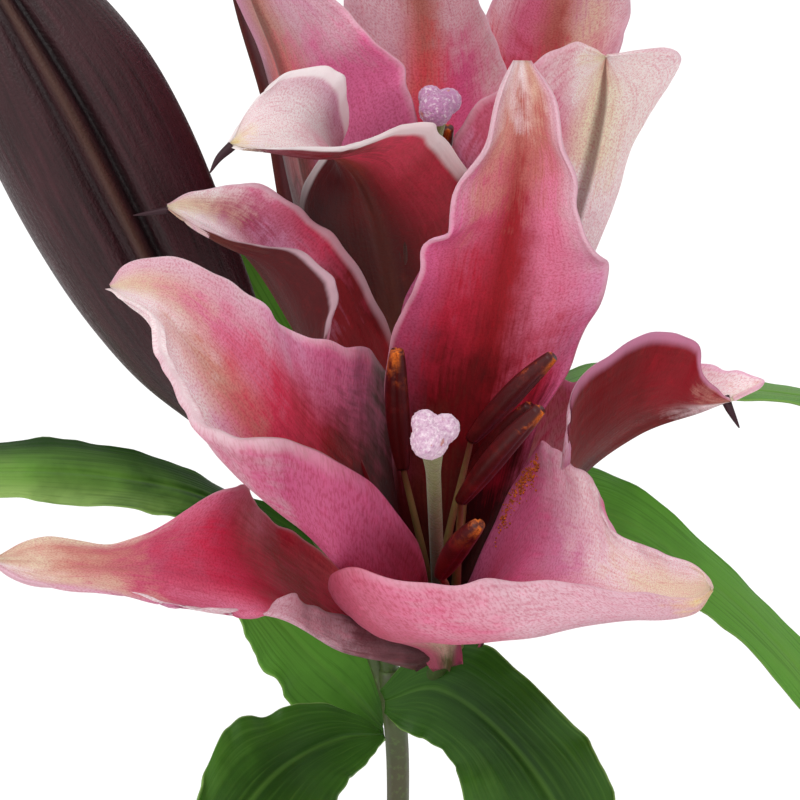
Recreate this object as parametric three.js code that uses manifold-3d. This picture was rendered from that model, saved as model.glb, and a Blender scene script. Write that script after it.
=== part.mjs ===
// One cut lily stem: a leafy stem that forks into two half-open flowers and one closed bud.
// Millimetres, +Z up, origin at the centre of the flat cut end. Front is -Y.
import * as THREE from "three";
import { mergeVertices } from "three/addons/utils/BufferGeometryUtils.js";
import Module from "manifold-3d";

const wasm = await Module();
wasm.setup();

// Driving dimensions.
const FORK_HEIGHT = 400; // cut end to where the bud's stalk leaves the stem
const LOWER_FORK = FORK_HEIGHT - 28; // where the front flower's stalk leaves the stem
const STEM_CUT_RADIUS = 4.5;
const STEM_TOP_RADIUS = 2.2;
const STALK_RADIUS = 1.8; // of a flower's or the bud's own stalk
const RECEPTACLE_RADIUS = 3.6; // swollen end of a stalk, under the tepals
const TEPAL_THICKNESS = 1.3;
const LEAF_THICKNESS = 1.1;
const GAP = 0.35; // kept between any two pieces
const PISTIL = { ovary: 22, ovaryRadius: 2.1, styleRadius: 1.15, stigmaRadius: 3.1 };
const FILAMENT_RADIUS = 0.7;
const ANTHER_RADIUS = 2.0;
const INNER_RING = 5.2; // from a flower's axis to the foot of an inner petal
const OUTER_RING = 7.0; // from a flower's axis to the foot of an outer sepal
const CLAW_HALF = 3.0; // half width of a tepal at its foot
const BLADE_ROWS = 10;
const BLADE_COLUMNS = 6;

// The head of flowers is laid out in a frame that leans back: x right, y to the back, z up.
const HEAD_LEAN = THREE.MathUtils.degToRad(20);
const HEAD_ORIGIN = new THREE.Vector3(3, -26.5, FORK_HEIGHT + 74);
const HEAD = new THREE.Matrix4()
  .makeRotationX(-HEAD_LEAN)
  .setPosition(HEAD_ORIGIN);

const FRONT = { foot: [8, 25, -47], axis: [-0.03, -0.89, 0.45], pistilLength: 95 };
const BACK = { foot: [1, 60, 1], axis: [0.07, -0.767, 0.637], pistilLength: 86 };
const BUD = {
  path: [[-25, 42, -13], [-46.5, 30, 23], [-64.5, 18, 59], [-87, 6, 96.5]],
  radius: [3.2, 8.5, 13.5, 16.2, 17.8, 18.4, 17.6, 14.5, 9, 1.2],
  sides: 15,
  lobes: 3,
  lobeHeight: 0.07,
};

// Rails of each tepal: points along its left margin, keel and right margin, seen on the inner face
// with the tip up. clock is the place round the flower's axis, belly how deep each side is hollowed.
const FRONT_TEPALS = {
  front_petal_upper: {
    clock: 10, ring: INNER_RING, belly: [0, 0], wave: 1.2,
    left: [[4, 12, -44], [2.5, 5, -35.5], [1, -2, -26.5], [-0.5, -9, -18], [-1.5, -14, -9], [-2.5, -19, 0], [-2, -25, 9.5], [0.5, -30, 16], [3, -33, 21.5], [4, -34, 26], [8.5, -33, 28.5], [9.5, -33, 36], [14.5, -31, 43.5], [17, -27, 52.5]],
    keel: [[11, 3, -29.5], [14.5, -16, -3.5], [18, -25, 19], [21, -27, 41], [21.5, -20, 60.5]],
    right: [[12.5, 12, -43], [15, 6, -36], [17.5, 0, -28], [20.5, -5, -20], [23, -10, -11], [25.5, -15, -1.5], [30, -19, 5.5], [32.5, -24, 12], [35.5, -28, 18], [36, -30, 23.5], [33.5, -31, 26.5], [30.5, -31, 32.5], [30.5, -31, 38.5], [28, -30, 44.5], [27, -27, 52.5]],
  },
  front_petal_left: {
    clock: -70, ring: INNER_RING, belly: [0.8, 0.2], wave: 0.8,
    left: [[6, 9, -44.5], [4.5, -18, -30], [1, -34, -21.5], [-5, -45, -14], [-11.5, -53, -9.5], [-18, -58, -6.5], [-25.5, -62, -6], [-31.5, -63, -4], [-34, -62, -0.5], [-37, -60, 5], [-39, -58, 9], [-41, -52, 14.5], [-45.5, -46, 17]],
    keel: [[0, 0, -36.5], [-11.5, -25, -21.5], [-23, -45, -5.5], [-38, -50, 13], [-49, -42, 19]],
    right: [[7.5, 10, -30], [4.5, 2, -15], [0, -6, 0], [-5, -16, 8.5], [-10.5, -25, 10], [-16.5, -31, 11], [-21, -36, 13.5], [-25, -39, 18], [-31.5, -41, 21.5], [-39.5, -42, 24], [-46.5, -41, 22.5]],
  },
  front_petal_right: {
    clock: 165, ring: INNER_RING, belly: [0.1, 0.7], wave: 0.8,
    left: [[10.5, 15, -42], [13, 2, -32.5], [19, -8, -19], [24.5, -16, -8], [27.5, -20, -8.5], [30, -24, -11], [33, -28, -13.5], [35, -34, -19], [37.5, -40, -23], [41.5, -46, -24.5], [45.5, -52, -26], [49, -56, -27.5]],
    keel: [[9.5, -2, -43.5], [13.5, -24, -37.5], [22, -40, -35.5], [31.5, -50, -34.5], [41, -56, -34], [47.5, -59, -33.5], [50.5, -60, -30.5]],
    right: [[1, -7, -42.5], [-9.5, -21, -37.5], [-12.5, -29, -32], [-9.5, -42, -28], [0, -50, -30], [9, -53, -30], [18, -54, -29.5], [26, -58, -29.5], [33, -61, -30.5], [40, -62, -31], [46.5, -62, -32]],
  },
  front_sepal_left: {
    clock: -120, ring: OUTER_RING, belly: [0.6, 0.1], wave: 0.8,
    left: [[7.5, 6, -46], [0, -8, -40.5], [-9, -20, -38.5], [-15, -28, -36], [-19, -36, -33.5], [-23, -42, -35], [-34.5, -53, -34], [-47, -59, -31.5], [-59.5, -62, -29.5]],
    keel: [[2, 5, -49], [-10, -16, -43], [-23, -36, -32.5], [-36.5, -48, -28], [-50.5, -57, -27], [-66.5, -60, -26]],
    right: [[1.5, 10, -46.5], [-3, 6, -38], [-9.5, 2, -32.5], [-18.5, -4, -25.5], [-25, -8, -19.5], [-27.5, -28, -15], [-35.5, -38, -18.5], [-46.5, -48, -24], [-58.5, -56, -22.5]],
  },
  front_sepal_right: {
    clock: 75, ring: OUTER_RING, belly: [0, 0.5], wave: 0.5,
    left: [[13.5, 15, -34.5], [21.5, 8, -13], [27, -2, 1.5], [32, -8, 3.5], [39.5, -15, 6], [48.5, -20, 6.5], [54.5, -25, 6], [59, -28, 5], [63, -30, 3]],
    keel: [[21.5, 8, -32], [31, -8, -14.5], [41, -22, -5.5], [50.5, -30, -1.5], [57, -33, 0]],
    right: [[18.5, 0, -37], [24.5, -12, -23.5], [29.5, -24, -10.5], [29, -30, -5], [29.5, -35, 1.5], [34.5, -39, 7], [41.5, -42, 11], [47.5, -43, 11], [50.5, -42, 8.5], [51.5, -39, 4.5], [54.5, -35, 1.5]],
  },
  front_sepal_upper: {
    clock: -45, ring: OUTER_RING, belly: [0.4, 0.1], wave: 0.5,
    left: [[1, 0, -33], [-4.5, -10, -18], [-10, -18, -3.5], [-13, -23, 9], [-12.5, -24, 13], [-11, -24, 17.5], [-12, -23, 21.5], [-16.5, -20, 26], [-24, -13, 27.5], [-32, -7, 29.5], [-37.5, -2, 32]],
    keel: [[3, 8, -26.5], [-9, -5, -5.5], [-18.5, -10, 13.5], [-27, -8, 26.5], [-36, -2, 32.5], [-43.5, 4, 36]],
    right: [[7.5, 15, -23], [5, 11, -13], [2, 7, -2], [-0.5, 5, 9.5], [-4.5, 3, 18.5], [-9.5, 2, 27], [-15, 2, 32.5], [-19.5, 2, 36.5], [-26.5, 3, 40], [-33.5, 4, 39.5], [-39, 4, 38.5]],
  },
};
const BACK_TEPALS = {
  back_petal_front: {
    clock: 180, ring: INNER_RING, belly: [0.5, 0.5], wave: 0.6,
    left: [[8, 45, 10], [12.5, 34, 20], [15, 22, 29], [15, 12, 37], [12.5, 4, 43], [8, -4, 47.5], [6, -9, 50], [1, -16, 49], [-5.5, -23, 46], [-10.5, -28, 44], [-19, -33, 43.5], [-25.5, -34, 43]],
    keel: [[-0.5, 40, 14], [-3.5, 14, 30.5], [-8, -8, 41.5], [-15, -24, 45], [-23.5, -31, 45.5], [-29.5, -32, 44]],
    right: [[-7, 45, 11], [-14, 36, 20], [-18.5, 27, 28.5], [-19, 16, 37], [-15.5, 4, 44.5], [-9, -4, 50], [-10, -8, 55], [-10.5, -11, 58], [-13.5, -13, 60], [-19.5, -18, 58.5], [-24, -24, 54], [-27.5, -29, 48.5]],
  },
  back_petal_left: {
    clock: -80, ring: INNER_RING, belly: [0.2, 0.2], wave: 0.8,
    left: [[3, 40, 12], [5.5, 12, 33], [3, -3, 51.5], [-2, -6, 63], [-12, -2, 73.5], [-24, 5, 86]],
    keel: [[-9, 52, 14.5], [-17, 42, 39], [-22, 28, 62.5], [-27.5, 20, 77], [-34, 12, 93.5]],
    right: [[-5, 62, 14.5], [-11.5, 59, 31], [-19, 58, 43], [-21, 54, 51.5], [-24.5, 50, 66], [-32, 42, 80.5], [-36, 28, 90]],
  },
  back_petal_right: {
    clock: 105, ring: INNER_RING, belly: [0.2, 0.2], wave: 0.8,
    left: [[11.5, 62, 2], [31, 55, 17.5], [40, 44, 39.5], [47.5, 36, 54.5], [54.5, 28, 68]],
    keel: [[11.5, 56, 5], [29, 42, 22], [35, 28, 40], [38, 20, 55], [39, 14, 65.5]],
    right: [[8, 46, 12], [15.5, 22, 33], [10, 4, 48.5], [19.5, 2, 58.5], [32, 5, 66.5]],
  },
  back_sepal_upper: {
    clock: 0, ring: OUTER_RING, belly: [0.1, 0.1], wave: 1,
    left: [[-3, 70, 15], [-8.5, 68, 42], [-10.5, 64, 67], [-11.5, 58, 85], [-6, 54, 97.5]],
    keel: [[2.5, 80, 15], [5, 84, 45.5], [5.5, 78, 71], [4, 66, 88], [2.5, 50, 102]],
    right: [[7.5, 72, 15], [18, 70, 44.5], [21.5, 66, 67], [17, 60, 83], [10.5, 54, 95.5]],
  },
  back_sepal_right: {
    clock: 55, ring: OUTER_RING, belly: [0.1, 0.1], wave: 1,
    left: [[6.5, 85, 11], [17.5, 88, 39.5], [18.5, 84, 67], [19.5, 78, 83.5], [27.5, 68, 97]],
    keel: [[11, 88, 13], [26.5, 95, 42], [32.5, 92, 68], [35, 82, 86.5], [40, 64, 101.5]],
    right: [[15, 80, 11], [37, 84, 39], [44.5, 80, 64.5], [48, 72, 81.5], [46.5, 66, 94.5]],
  },
  back_sepal_left: {
    clock: -120, ring: OUTER_RING, belly: [0.2, 0.2], wave: 0.8,
    left: [[-7, 55, 11.5], [-15, 63, 35.5], [-18.5, 61, 60.5], [-23.5, 54, 76], [-30.5, 48, 89.5]],
    keel: [[-11.5, 60, 11.5], [-23, 64, 36.5], [-27.5, 66, 61], [-32.5, 60, 79], [-37.5, 48, 98.5]],
    right: [[-10.5, 66, 12.5], [-21.5, 74, 38.5], [-26.5, 74, 64], [-31, 66, 82], [-34.5, 56, 93]],
  },
};
// Rails of the leaves round the head, in the head's frame. Each ends in a point shared by its rails.
const HEAD_LEAVES = {
  leaf_front_right: {
    left: [[-4, 44, -58.5], [4, 38, -49.5], [13.5, 32, -47.5], [22.5, 25, -52], [31, 14, -59.5], [37, 6, -66.5], [39.5, 0, -74], [40.5, -3, -84.5]],
    keel: [[-3, 43, -60.5], [8, 36, -57.5], [21, 20, -65.5], [31.5, 5, -80], [40, -5, -102.5]],
    right: [[-3, 43, -63], [0, 38, -65.5], [6, 32, -67.5], [11, 24, -71.5], [13.5, 14, -80], [22.5, 4, -93]],
    belly: [0, 0], wave: 1,
  },
  leaf_front_left: {
    left: [[-3, 46, -68.5], [-6.5, 40, -72.5], [-11, 32, -76], [-14.5, 20, -82.5], [-24.5, 10, -94]],
    keel: [[-3.5, 48, -68], [-13, 40, -68], [-24.5, 26, -73], [-35, 14, -85.5], [-46.5, 5, -104.5]],
    right: [[-4, 50, -67.5], [-10, 46, -63], [-18, 40, -60.5], [-26, 36, -62], [-33.5, 32, -64], [-37.5, 24, -71.5], [-40, 12, -81.5]],
    belly: [0, 0], wave: 1,
  },
  leaf_left_low: {
    left: [[-3, 55, -70], [-11.5, 54, -69], [-20.5, 50, -63.5], [-27, 47, -55], [-32.5, 46, -45]],
    keel: [[-3.5, 57, -67.5], [-10.5, 58, -60], [-18.5, 56, -52.5], [-29, 52, -41], [-39.5, 45, -32.5]],
    right: [[-3.5, 60, -62.5], [-3, 62, -52], [-11.5, 62, -44], [-25, 58, -35]],
    belly: [0, 0], wave: 0.8,
  },
  leaf_left: {
    left: [[-3, 58, -54], [-20.5, 56, -39], [-40, 54, -26.5], [-51, 52, -23], [-69.5, 50, -21], [-81, 48, -20], [-99, 44, -21]],
    keel: [[-3, 60, -52], [-21, 62, -33.5], [-38.5, 60, -21], [-58, 57, -16], [-78, 52, -14.5], [-97.5, 48, -16], [-118.5, 42, -26]],
    right: [[-2.5, 62, -50], [-21, 68, -25.5], [-37, 66, -18.5], [-52.5, 64, -11.5], [-69, 62, -8.5], [-87, 58, -8.5], [-102.5, 52, -11.5]],
    belly: [0, 0], wave: 0.8,
  },
  leaf_right: {
    left: [[-1.5, 64, -50], [19.5, 78, -19.5], [41, 78, -14], [63, 64, -29.5], [81, 48, -48], [97, 34, -68]],
    keel: [[-1.5, 62, -52], [20, 70, -27.5], [42, 66, -23.5], [61.5, 54, -35.5], [79, 40, -53], [92, 28, -72.5], [103.5, 22, -100.5]],
    right: [[-1.5, 60, -54], [21, 62, -35.5], [41, 56, -33], [58.5, 46, -41], [73.5, 36, -54], [87.5, 26, -74]],
    belly: [0, 0], wave: 0.8,
  },
  leaf_right_high: {
    left: [[-0.5, 66, -33.5], [19.5, 82, -6.5], [41.5, 86, 8], [65, 84, 5], [88, 78, 2]],
    keel: [[-0.5, 64, -34.5], [20, 74, -8.5], [41.5, 76, 4.5], [64, 74, 3], [86.5, 70, 0.5], [106, 66, -4]],
    right: [[-0.5, 62, -35.5], [21, 68, -10.5], [42, 68, 2], [63, 66, 1], [86, 64, -1.5]],
    belly: [0, 0], wave: 0.5,
  },
  leaf_back_left: {
    left: [[-6, 56, -40], [-21, 64, -10], [-37, 64, 13], [-39, 62, 27]],
    keel: [[-5, 58, -39], [-15, 68, -6], [-28, 68, 17], [-34, 66, 29], [-34, 60, 36]],
    right: [[-4, 60, -38], [-10, 72, -2], [-21, 70, 19], [-27, 66, 31]],
    belly: [0, 0], wave: 0.5,
  },
};
// Stamens of the front flower: where the filament stands round the axis, and the anther's two ends.
const FRONT_STAMENS = [
  { clock: -40, outer: [-0.5, -33, 8.5], inner: [0.5, -20, -12] },
  { clock: 15, outer: [26, -36, 7.5], inner: [12.5, -24, -7] },
  { clock: 105, outer: [23.5, -44, -1.5], inner: [10.5, -30, -17.5] },
  { clock: 150, outer: [13, -50, -20.5], inner: [7, -34, -30] },
  { clock: -100, outer: [-19, -52, -8.5], inner: [-10, -38, -18] },
  { clock: 60, outer: [23, -22, -1], inner: [12, -10, -15] },
];
const BACK_STAMENS = { clocks: [-140, -85, -30, 25, 80, 130], inner: 46, outer: 70, innerRadius: 6, outerRadius: 8.5 };
// Leaves below the head, spiralling up the stem above its bare foot.
const LOWER_LEAVES = { count: 7, lowest: 128, step: 28, turn: 137.5, first: 25 };
const LOWER_LEAF = { length: 112, halfWidth: 14, rise: 52, droop: -34, fold: 0.25 };

const COLOURS = {
  petal: 0xc9607a, sepal: 0xb44a66, leaf: 0x4a7a35, stem: 0x6f7d4c, bud: 0x4a2328,
  pistil: 0xa9a06a, filament: 0x9a8a62, anther: 0x5a1c18,
};

const vec = (point) => new THREE.Vector3(...point);

// A smooth line through evenly spaced points.
const railThrough = (points) =>
  new THREE.CatmullRomCurve3(points.map(vec), false, "catmullrom", 0.5);

// Two directions square to a flower's axis: up and to the right as the flower is looked into.
function squareTo(axis) {
  const along = vec(axis).normalize();
  const up = new THREE.Vector3(0, 0, 1).addScaledVector(along, -along.z).normalize();
  const right = new THREE.Vector3().crossVectors(up, along);
  return { along, up, right };
}

// The direction away from a flower's axis at a clock angle, 0 being up and 90 to the right.
function aroundAxis(flower, clock) {
  const { up, right } = squareTo(flower.axis);
  const angle = THREE.MathUtils.degToRad(clock);
  return up.multiplyScalar(Math.cos(angle)).addScaledVector(right, Math.sin(angle));
}

// The three foot points of a tepal on the ring round a flower's axis.
function footOf(flower, clock, ring) {
  const outward = aroundAxis(flower, clock);
  const sideways = aroundAxis(flower, clock + 90);
  const middle = vec(flower.foot).addScaledVector(outward, ring);
  return [-CLAW_HALF, 0, CLAW_HALF].map((s) => middle.clone().addScaledVector(sideways, s).toArray());
}

// A tepal's rails: its foot on the ring, its own points, and the tip that its keel ends in.
function tepalRails(flower, tepal) {
  const [left, keel, right] = footOf(flower, tepal.clock, tepal.ring);
  const tip = tepal.keel[tepal.keel.length - 1];
  return {
    left: railThrough([left, ...tepal.left, tip]),
    keel: railThrough([keel, ...tepal.keel]),
    right: railThrough([right, ...tepal.right, tip]),
  };
}

function leafRails(leaf) {
  const tip = leaf.keel[leaf.keel.length - 1];
  return {
    left: railThrough([...leaf.left, tip]),
    keel: railThrough(leaf.keel),
    right: railThrough([...leaf.right, tip]),
  };
}

// A point of a blade: u runs from foot to tip, v from the left margin (-1) to the right one (1).
// Round the keel the section is a parabola; a belly makes the side a deeper trough.
function bladePoint(rails, shape, u, v) {
  const left = rails.left.getPoint(u);
  const keel = rails.keel.getPoint(u);
  const right = rails.right.getPoint(u);
  const half = right.clone().sub(left).multiplyScalar(0.5);
  const hollow = right.clone().add(left).multiplyScalar(0.5).sub(keel);
  const across = Math.abs(v);
  const belly = shape.belly[v < 0 ? 0 : 1];
  const reach = across > 1 ? across : (1 - belly) * across + belly * (1 - (1 - across) ** 2);
  const lift = (1 - belly) * across ** 2 + belly * across ** 3.5;
  return keel.addScaledVector(half, Math.sign(v) * reach).addScaledVector(hollow, lift);
}

function bladeNormal(rails, shape, u, v) {
  const step = 0.02;
  const u0 = Math.max(u - step, 0);
  const u1 = Math.min(u + step, 1);
  const along = bladePoint(rails, shape, u1, v).sub(bladePoint(rails, shape, u0, v));
  const v0 = Math.max(v - 0.1, -1);
  const v1 = Math.min(v + 0.1, 1);
  const sideways = bladePoint(rails, shape, u, v1).sub(bladePoint(rails, shape, u, v0));
  return sideways.cross(along).normalize();
}

// A closed shell over a blade, thick all round; grow swells it to cut its neighbours with.
function bladeGeometry(rails, shape, thickness, grow) {
  const half = thickness / 2 + grow;
  const reach = grow > 0 ? 1.04 : 1;
  const tipAt = grow > 0 ? 0.99 : 0.975;
  const inner = [];
  const outer = [];
  for (let i = 0; i < BLADE_ROWS; i++) {
    const u = (tipAt * i) / (BLADE_ROWS - 1);
    for (let j = 0; j < BLADE_COLUMNS; j++) {
      const v = (2 * j) / (BLADE_COLUMNS - 1) - 1;
      const point = bladePoint(rails, shape, u, v * reach);
      const ripple = shape.wave * Math.abs(v) ** 3 * Math.sin(Math.PI * u);
      const normal = bladeNormal(rails, shape, u, v);
      point.addScaledVector(normal, ripple * Math.sin(2 * Math.PI * 3 * u + (v > 0 ? 1.7 : 0)));
      inner.push(point.clone().addScaledVector(normal, half));
      outer.push(point.clone().addScaledVector(normal, -half));
    }
  }
  return shellGeometry(inner, outer, BLADE_ROWS, BLADE_COLUMNS);
}

// Triangles of a shell whose two faces are grids of rows by columns, joined round the edge.
function shellGeometry(inner, outer, rows, columns) {
  const points = [...inner, ...outer];
  const faces = [];
  const quad = (a, b, c, d) => faces.push(a, b, c, a, c, d);
  const at = (i, j) => i * columns + j;
  const behind = (i, j) => inner.length + at(i, j);
  for (let i = 0; i < rows - 1; i++)
    for (let j = 0; j < columns - 1; j++) {
      quad(at(i, j), at(i, j + 1), at(i + 1, j + 1), at(i + 1, j));
      quad(behind(i, j), behind(i + 1, j), behind(i + 1, j + 1), behind(i, j + 1));
    }
  for (let i = 0; i < rows - 1; i++) {
    quad(at(i, 0), at(i + 1, 0), behind(i + 1, 0), behind(i, 0));
    const j = columns - 1;
    quad(at(i, j), behind(i, j), behind(i + 1, j), at(i + 1, j));
  }
  for (let j = 0; j < columns - 1; j++) {
    quad(at(0, j), behind(0, j), behind(0, j + 1), at(0, j + 1));
    const i = rows - 1;
    quad(at(i, j), at(i, j + 1), behind(i, j + 1), behind(i, j));
  }
  return geometryOf(points, faces);
}

function geometryOf(points, faces) {
  const geometry = new THREE.BufferGeometry().setFromPoints(points);
  return geometry.setIndex(faces);
}

// A closed round limb along a curve, its radius given along the length and its section by lobes.
function limbGeometry(curve, radiusAt, { rows, sides, grow, lobes = 0, lobeHeight = 0 }) {
  const frames = curve.computeFrenetFrames(rows, false);
  const points = [];
  const faces = [];
  for (let i = 0; i <= rows; i++) {
    const centre = curve.getPointAt(i / rows);
    for (let j = 0; j < sides; j++) {
      const angle = (2 * Math.PI * j) / sides;
      const radius = radiusAt(i / rows) * (1 + lobeHeight * Math.cos(lobes * angle)) + grow;
      points.push(
        centre
          .clone()
          .addScaledVector(frames.normals[i], radius * Math.cos(angle))
          .addScaledVector(frames.binormals[i], radius * Math.sin(angle)),
      );
    }
  }
  for (let i = 0; i < rows; i++)
    for (let j = 0; j < sides; j++) {
      const a = i * sides + j;
      const b = i * sides + ((j + 1) % sides);
      faces.push(a, b, b + sides, a, b + sides, a + sides);
    }
  const startCap = points.push(curve.getPointAt(0).addScaledVector(frames.tangents[0], -grow)) - 1;
  const endCap = points.push(curve.getPointAt(1).addScaledVector(frames.tangents[rows], grow)) - 1;
  for (let j = 0; j < sides; j++) {
    const k = (j + 1) % sides;
    faces.push(startCap, k, j, endCap, rows * sides + j, rows * sides + k);
  }
  return geometryOf(points, faces);
}

// A value between evenly spaced ones, u from 0 to 1.
function between(values, u) {
  const place = THREE.MathUtils.clamp(u, 0, 1) * (values.length - 1);
  const i = Math.min(Math.floor(place), values.length - 2);
  return THREE.MathUtils.lerp(values[i], values[i + 1], place - i);
}

function solidOf(geometry) {
  const bare = geometry.clone();
  bare.deleteAttribute("normal");
  bare.deleteAttribute("uv");
  const merged = mergeVertices(bare, 1e-4);
  const mesh = new wasm.Mesh({
    numProp: 3,
    vertProperties: merged.attributes.position.array,
    triVerts: new Uint32Array(merged.index.array),
  });
  return new wasm.Manifold(mesh);
}

function geometryFrom(solid) {
  const mesh = solid.getMesh();
  const geometry = new THREE.BufferGeometry();
  geometry.setAttribute("position", new THREE.BufferAttribute(mesh.vertProperties, 3));
  return geometry.setIndex(new THREE.BufferAttribute(mesh.triVerts, 1));
}

const along = (flower, distance) =>
  vec(flower.foot).addScaledVector(vec(flower.axis).normalize(), distance);

// The stem with its two flower stalks and the bud's stalk: one growth, so one solid.
function stemGeometry(grow) {
  const trunk = railThrough([[0, 0, 0], [0, 0, 60], [2, 3, 160], [-1.5, 1, 270], [2.5, 0, LOWER_FORK], [1, 0, FORK_HEIGHT + 6]]);
  const taper = (u) => THREE.MathUtils.lerp(STEM_CUT_RADIUS, STEM_TOP_RADIUS, u);
  const trunkShape = limbGeometry(trunk, taper, { rows: 12, sides: 10, grow });
  const swell = (u) => STALK_RADIUS + (RECEPTACLE_RADIUS - STALK_RADIUS) * Math.max(0, (u - 0.8) / 0.2) ** 1.5;
  const stalkTo = (flower, ...bends) => {
    const end = along(flower, -1.2).toArray();
    const before = along(flower, -9).toArray();
    return railThrough([...bends, before, end]);
  };
  const stalks = [
    stalkTo(FRONT, [-1.5, 50, -61], [1, 49.5, -61.5], [5.5, 43, -57.5]),
    stalkTo(BACK, [-1.5, 51, -62], [-2.5, 48, -47], [-2, 60, -24]),
    railThrough([[-1.5, 51, -63], [-6, 50, -50], [-15, 47, -30], [-24.3, 42.4, -14.2]]),
  ];
  const limbs = stalks.map((stalk) => {
    const shape = limbGeometry(stalk, swell, { rows: 7, sides: 8, grow });
    return solidOf(shape.applyMatrix4(HEAD));
  });
  return geometryFrom(limbs.reduce((whole, limb) => whole.add(limb), solidOf(trunkShape)));
}

function pistilGeometry(flower, grow) {
  const line = new THREE.LineCurve3(along(flower, 0), along(flower, flower.pistilLength - 2));
  const ovaryEnd = PISTIL.ovary / flower.pistilLength;
  const radiusAt = (u) => (u <= ovaryEnd ? PISTIL.ovaryRadius : PISTIL.styleRadius);
  const shaft = solidOf(limbGeometry(line, radiusAt, { rows: 5, sides: 7, grow }));
  const { up, right } = squareTo(flower.axis);
  const lobes = [0, 1, 2].map((k) => {
    const angle = (2 * Math.PI * k) / 3 + Math.PI / 6;
    const centre = along(flower, flower.pistilLength - 2.5)
      .addScaledVector(right, 2.6 * Math.cos(angle))
      .addScaledVector(up, 2.6 * Math.sin(angle));
    const ball = new THREE.SphereGeometry(PISTIL.stigmaRadius + grow, 7, 5);
    return solidOf(ball.translate(...centre.toArray()));
  });
  return geometryFrom(lobes.reduce((whole, lobe) => whole.add(lobe), shaft));
}

// An anther is a slim pod in two halves, a little flattened.
function antherGeometry(stamen, grow) {
  const line = new THREE.LineCurve3(vec(stamen.inner), vec(stamen.outer));
  const radiusAt = (u) => ANTHER_RADIUS * (0.35 + 0.65 * Math.sin(Math.PI * (0.08 + 0.84 * u)) ** 0.6);
  return limbGeometry(line, radiusAt, { rows: 5, sides: 6, grow, lobes: 2, lobeHeight: 0.18 });
}

function filamentGeometry(flower, stamen, grow) {
  const { along: axis } = squareTo(flower.axis);
  const ring = PISTIL.ovaryRadius + FILAMENT_RADIUS + 2 * GAP;
  const start = vec(flower.foot).addScaledVector(aroundAxis(flower, stamen.clock), ring).addScaledVector(axis, 0.5);
  const inner = vec(stamen.inner);
  const middle = start.clone().addScaledVector(axis, 0.5 * inner.distanceTo(start));
  const end = inner.clone().addScaledVector(inner.clone().sub(middle).normalize(), -1.2);
  const curve = new THREE.CatmullRomCurve3([start, middle, end]);
  return limbGeometry(curve, () => FILAMENT_RADIUS, { rows: 5, sides: 5, grow });
}

function budGeometry(grow) {
  return limbGeometry(railThrough(BUD.path), (u) => between(BUD.radius, u), {
    rows: 14, sides: BUD.sides, grow, lobes: BUD.lobes, lobeHeight: BUD.lobeHeight,
  });
}

function backStamens() {
  const at = (clock, distance, radius) =>
    along(BACK, distance).addScaledVector(aroundAxis(BACK, clock), radius).toArray();
  return BACK_STAMENS.clocks.map((clock) => ({
    clock,
    outer: at(clock, BACK_STAMENS.outer, BACK_STAMENS.outerRadius),
    inner: at(clock, BACK_STAMENS.inner, BACK_STAMENS.innerRadius),
  }));
}

// Rails of a leaf that leaves the stem at a height, rises outward and droops towards its tip.
function lowerLeaf(index) {
  const turn = THREE.MathUtils.degToRad(LOWER_LEAVES.first + LOWER_LEAVES.turn * index);
  const height = LOWER_LEAVES.lowest + LOWER_LEAVES.step * index;
  const outward = new THREE.Vector3(Math.cos(turn), Math.sin(turn), 0);
  const rightward = new THREE.Vector3(Math.sin(turn), -Math.cos(turn), 0);
  const keys = 6;
  const point = outward.clone().multiplyScalar(STEM_CUT_RADIUS + 0.6).setZ(height);
  const rails = { left: [], keel: [], right: [], belly: [0, 0], wave: 1.2 };
  const stride = LOWER_LEAF.length / (keys - 1);
  for (let k = 0; k < keys; k++) {
    const u = k / (keys - 1);
    const half = 2 + LOWER_LEAF.halfWidth * Math.sin(Math.PI * u ** 0.8) ** 0.9;
    const edgeLift = LOWER_LEAF.fold * half;
    const sideways = (sign) => {
      const edge = point.clone().addScaledVector(rightward, sign * half);
      return edge.setZ(edge.z + edgeLift).toArray();
    };
    rails.keel.push(point.toArray());
    if (k < keys - 1) rails.left.push(sideways(-1));
    if (k < keys - 1) rails.right.push(sideways(1));
    const pitch = THREE.MathUtils.degToRad(THREE.MathUtils.lerp(LOWER_LEAF.rise, LOWER_LEAF.droop, u));
    point.addScaledVector(outward, stride * Math.cos(pitch));
    point.z += stride * Math.sin(pitch);
  }
  return rails;
}

// Every piece, those that keep their whole shape before those that give way to them.
const pieces = [];
const addPiece = (group, name, colour, roughness, frame, make) =>
  pieces.push({ group, name, colour, roughness, frame, make });

addPiece("stem", "stem", COLOURS.stem, 0.6, null, stemGeometry);
const flowers = [
  ["front", FRONT, FRONT_TEPALS, FRONT_STAMENS],
  ["back", BACK, BACK_TEPALS, backStamens()],
];
for (const [side, flower, tepals, stamens] of flowers) {
  const group = side + "_flower";
  addPiece(group, side + "_pistil", COLOURS.pistil, 0.6, HEAD, (grow) => pistilGeometry(flower, grow));
  stamens.forEach((stamen, i) => {
    addPiece(group, `${side}_anther_${i + 1}`, COLOURS.anther, 0.8, HEAD, (grow) => antherGeometry(stamen, grow));
    addPiece(group, `${side}_filament_${i + 1}`, COLOURS.filament, 0.5, HEAD, (grow) =>
      filamentGeometry(flower, stamen, grow),
    );
  });
  for (const [name, tepal] of Object.entries(tepals)) {
    const colour = tepal.ring === INNER_RING ? COLOURS.petal : COLOURS.sepal;
    addPiece(group, name, colour, 0.45, HEAD, (grow) => bladeGeometry(tepalRails(flower, tepal), tepal, TEPAL_THICKNESS, grow));
  }
}
addPiece("bud", "bud", COLOURS.bud, 0.5, HEAD, budGeometry);
for (const [name, leaf] of Object.entries(HEAD_LEAVES))
  addPiece("foliage", name, COLOURS.leaf, 0.5, HEAD, (grow) => bladeGeometry(leafRails(leaf), leaf, LEAF_THICKNESS, grow));
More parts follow.
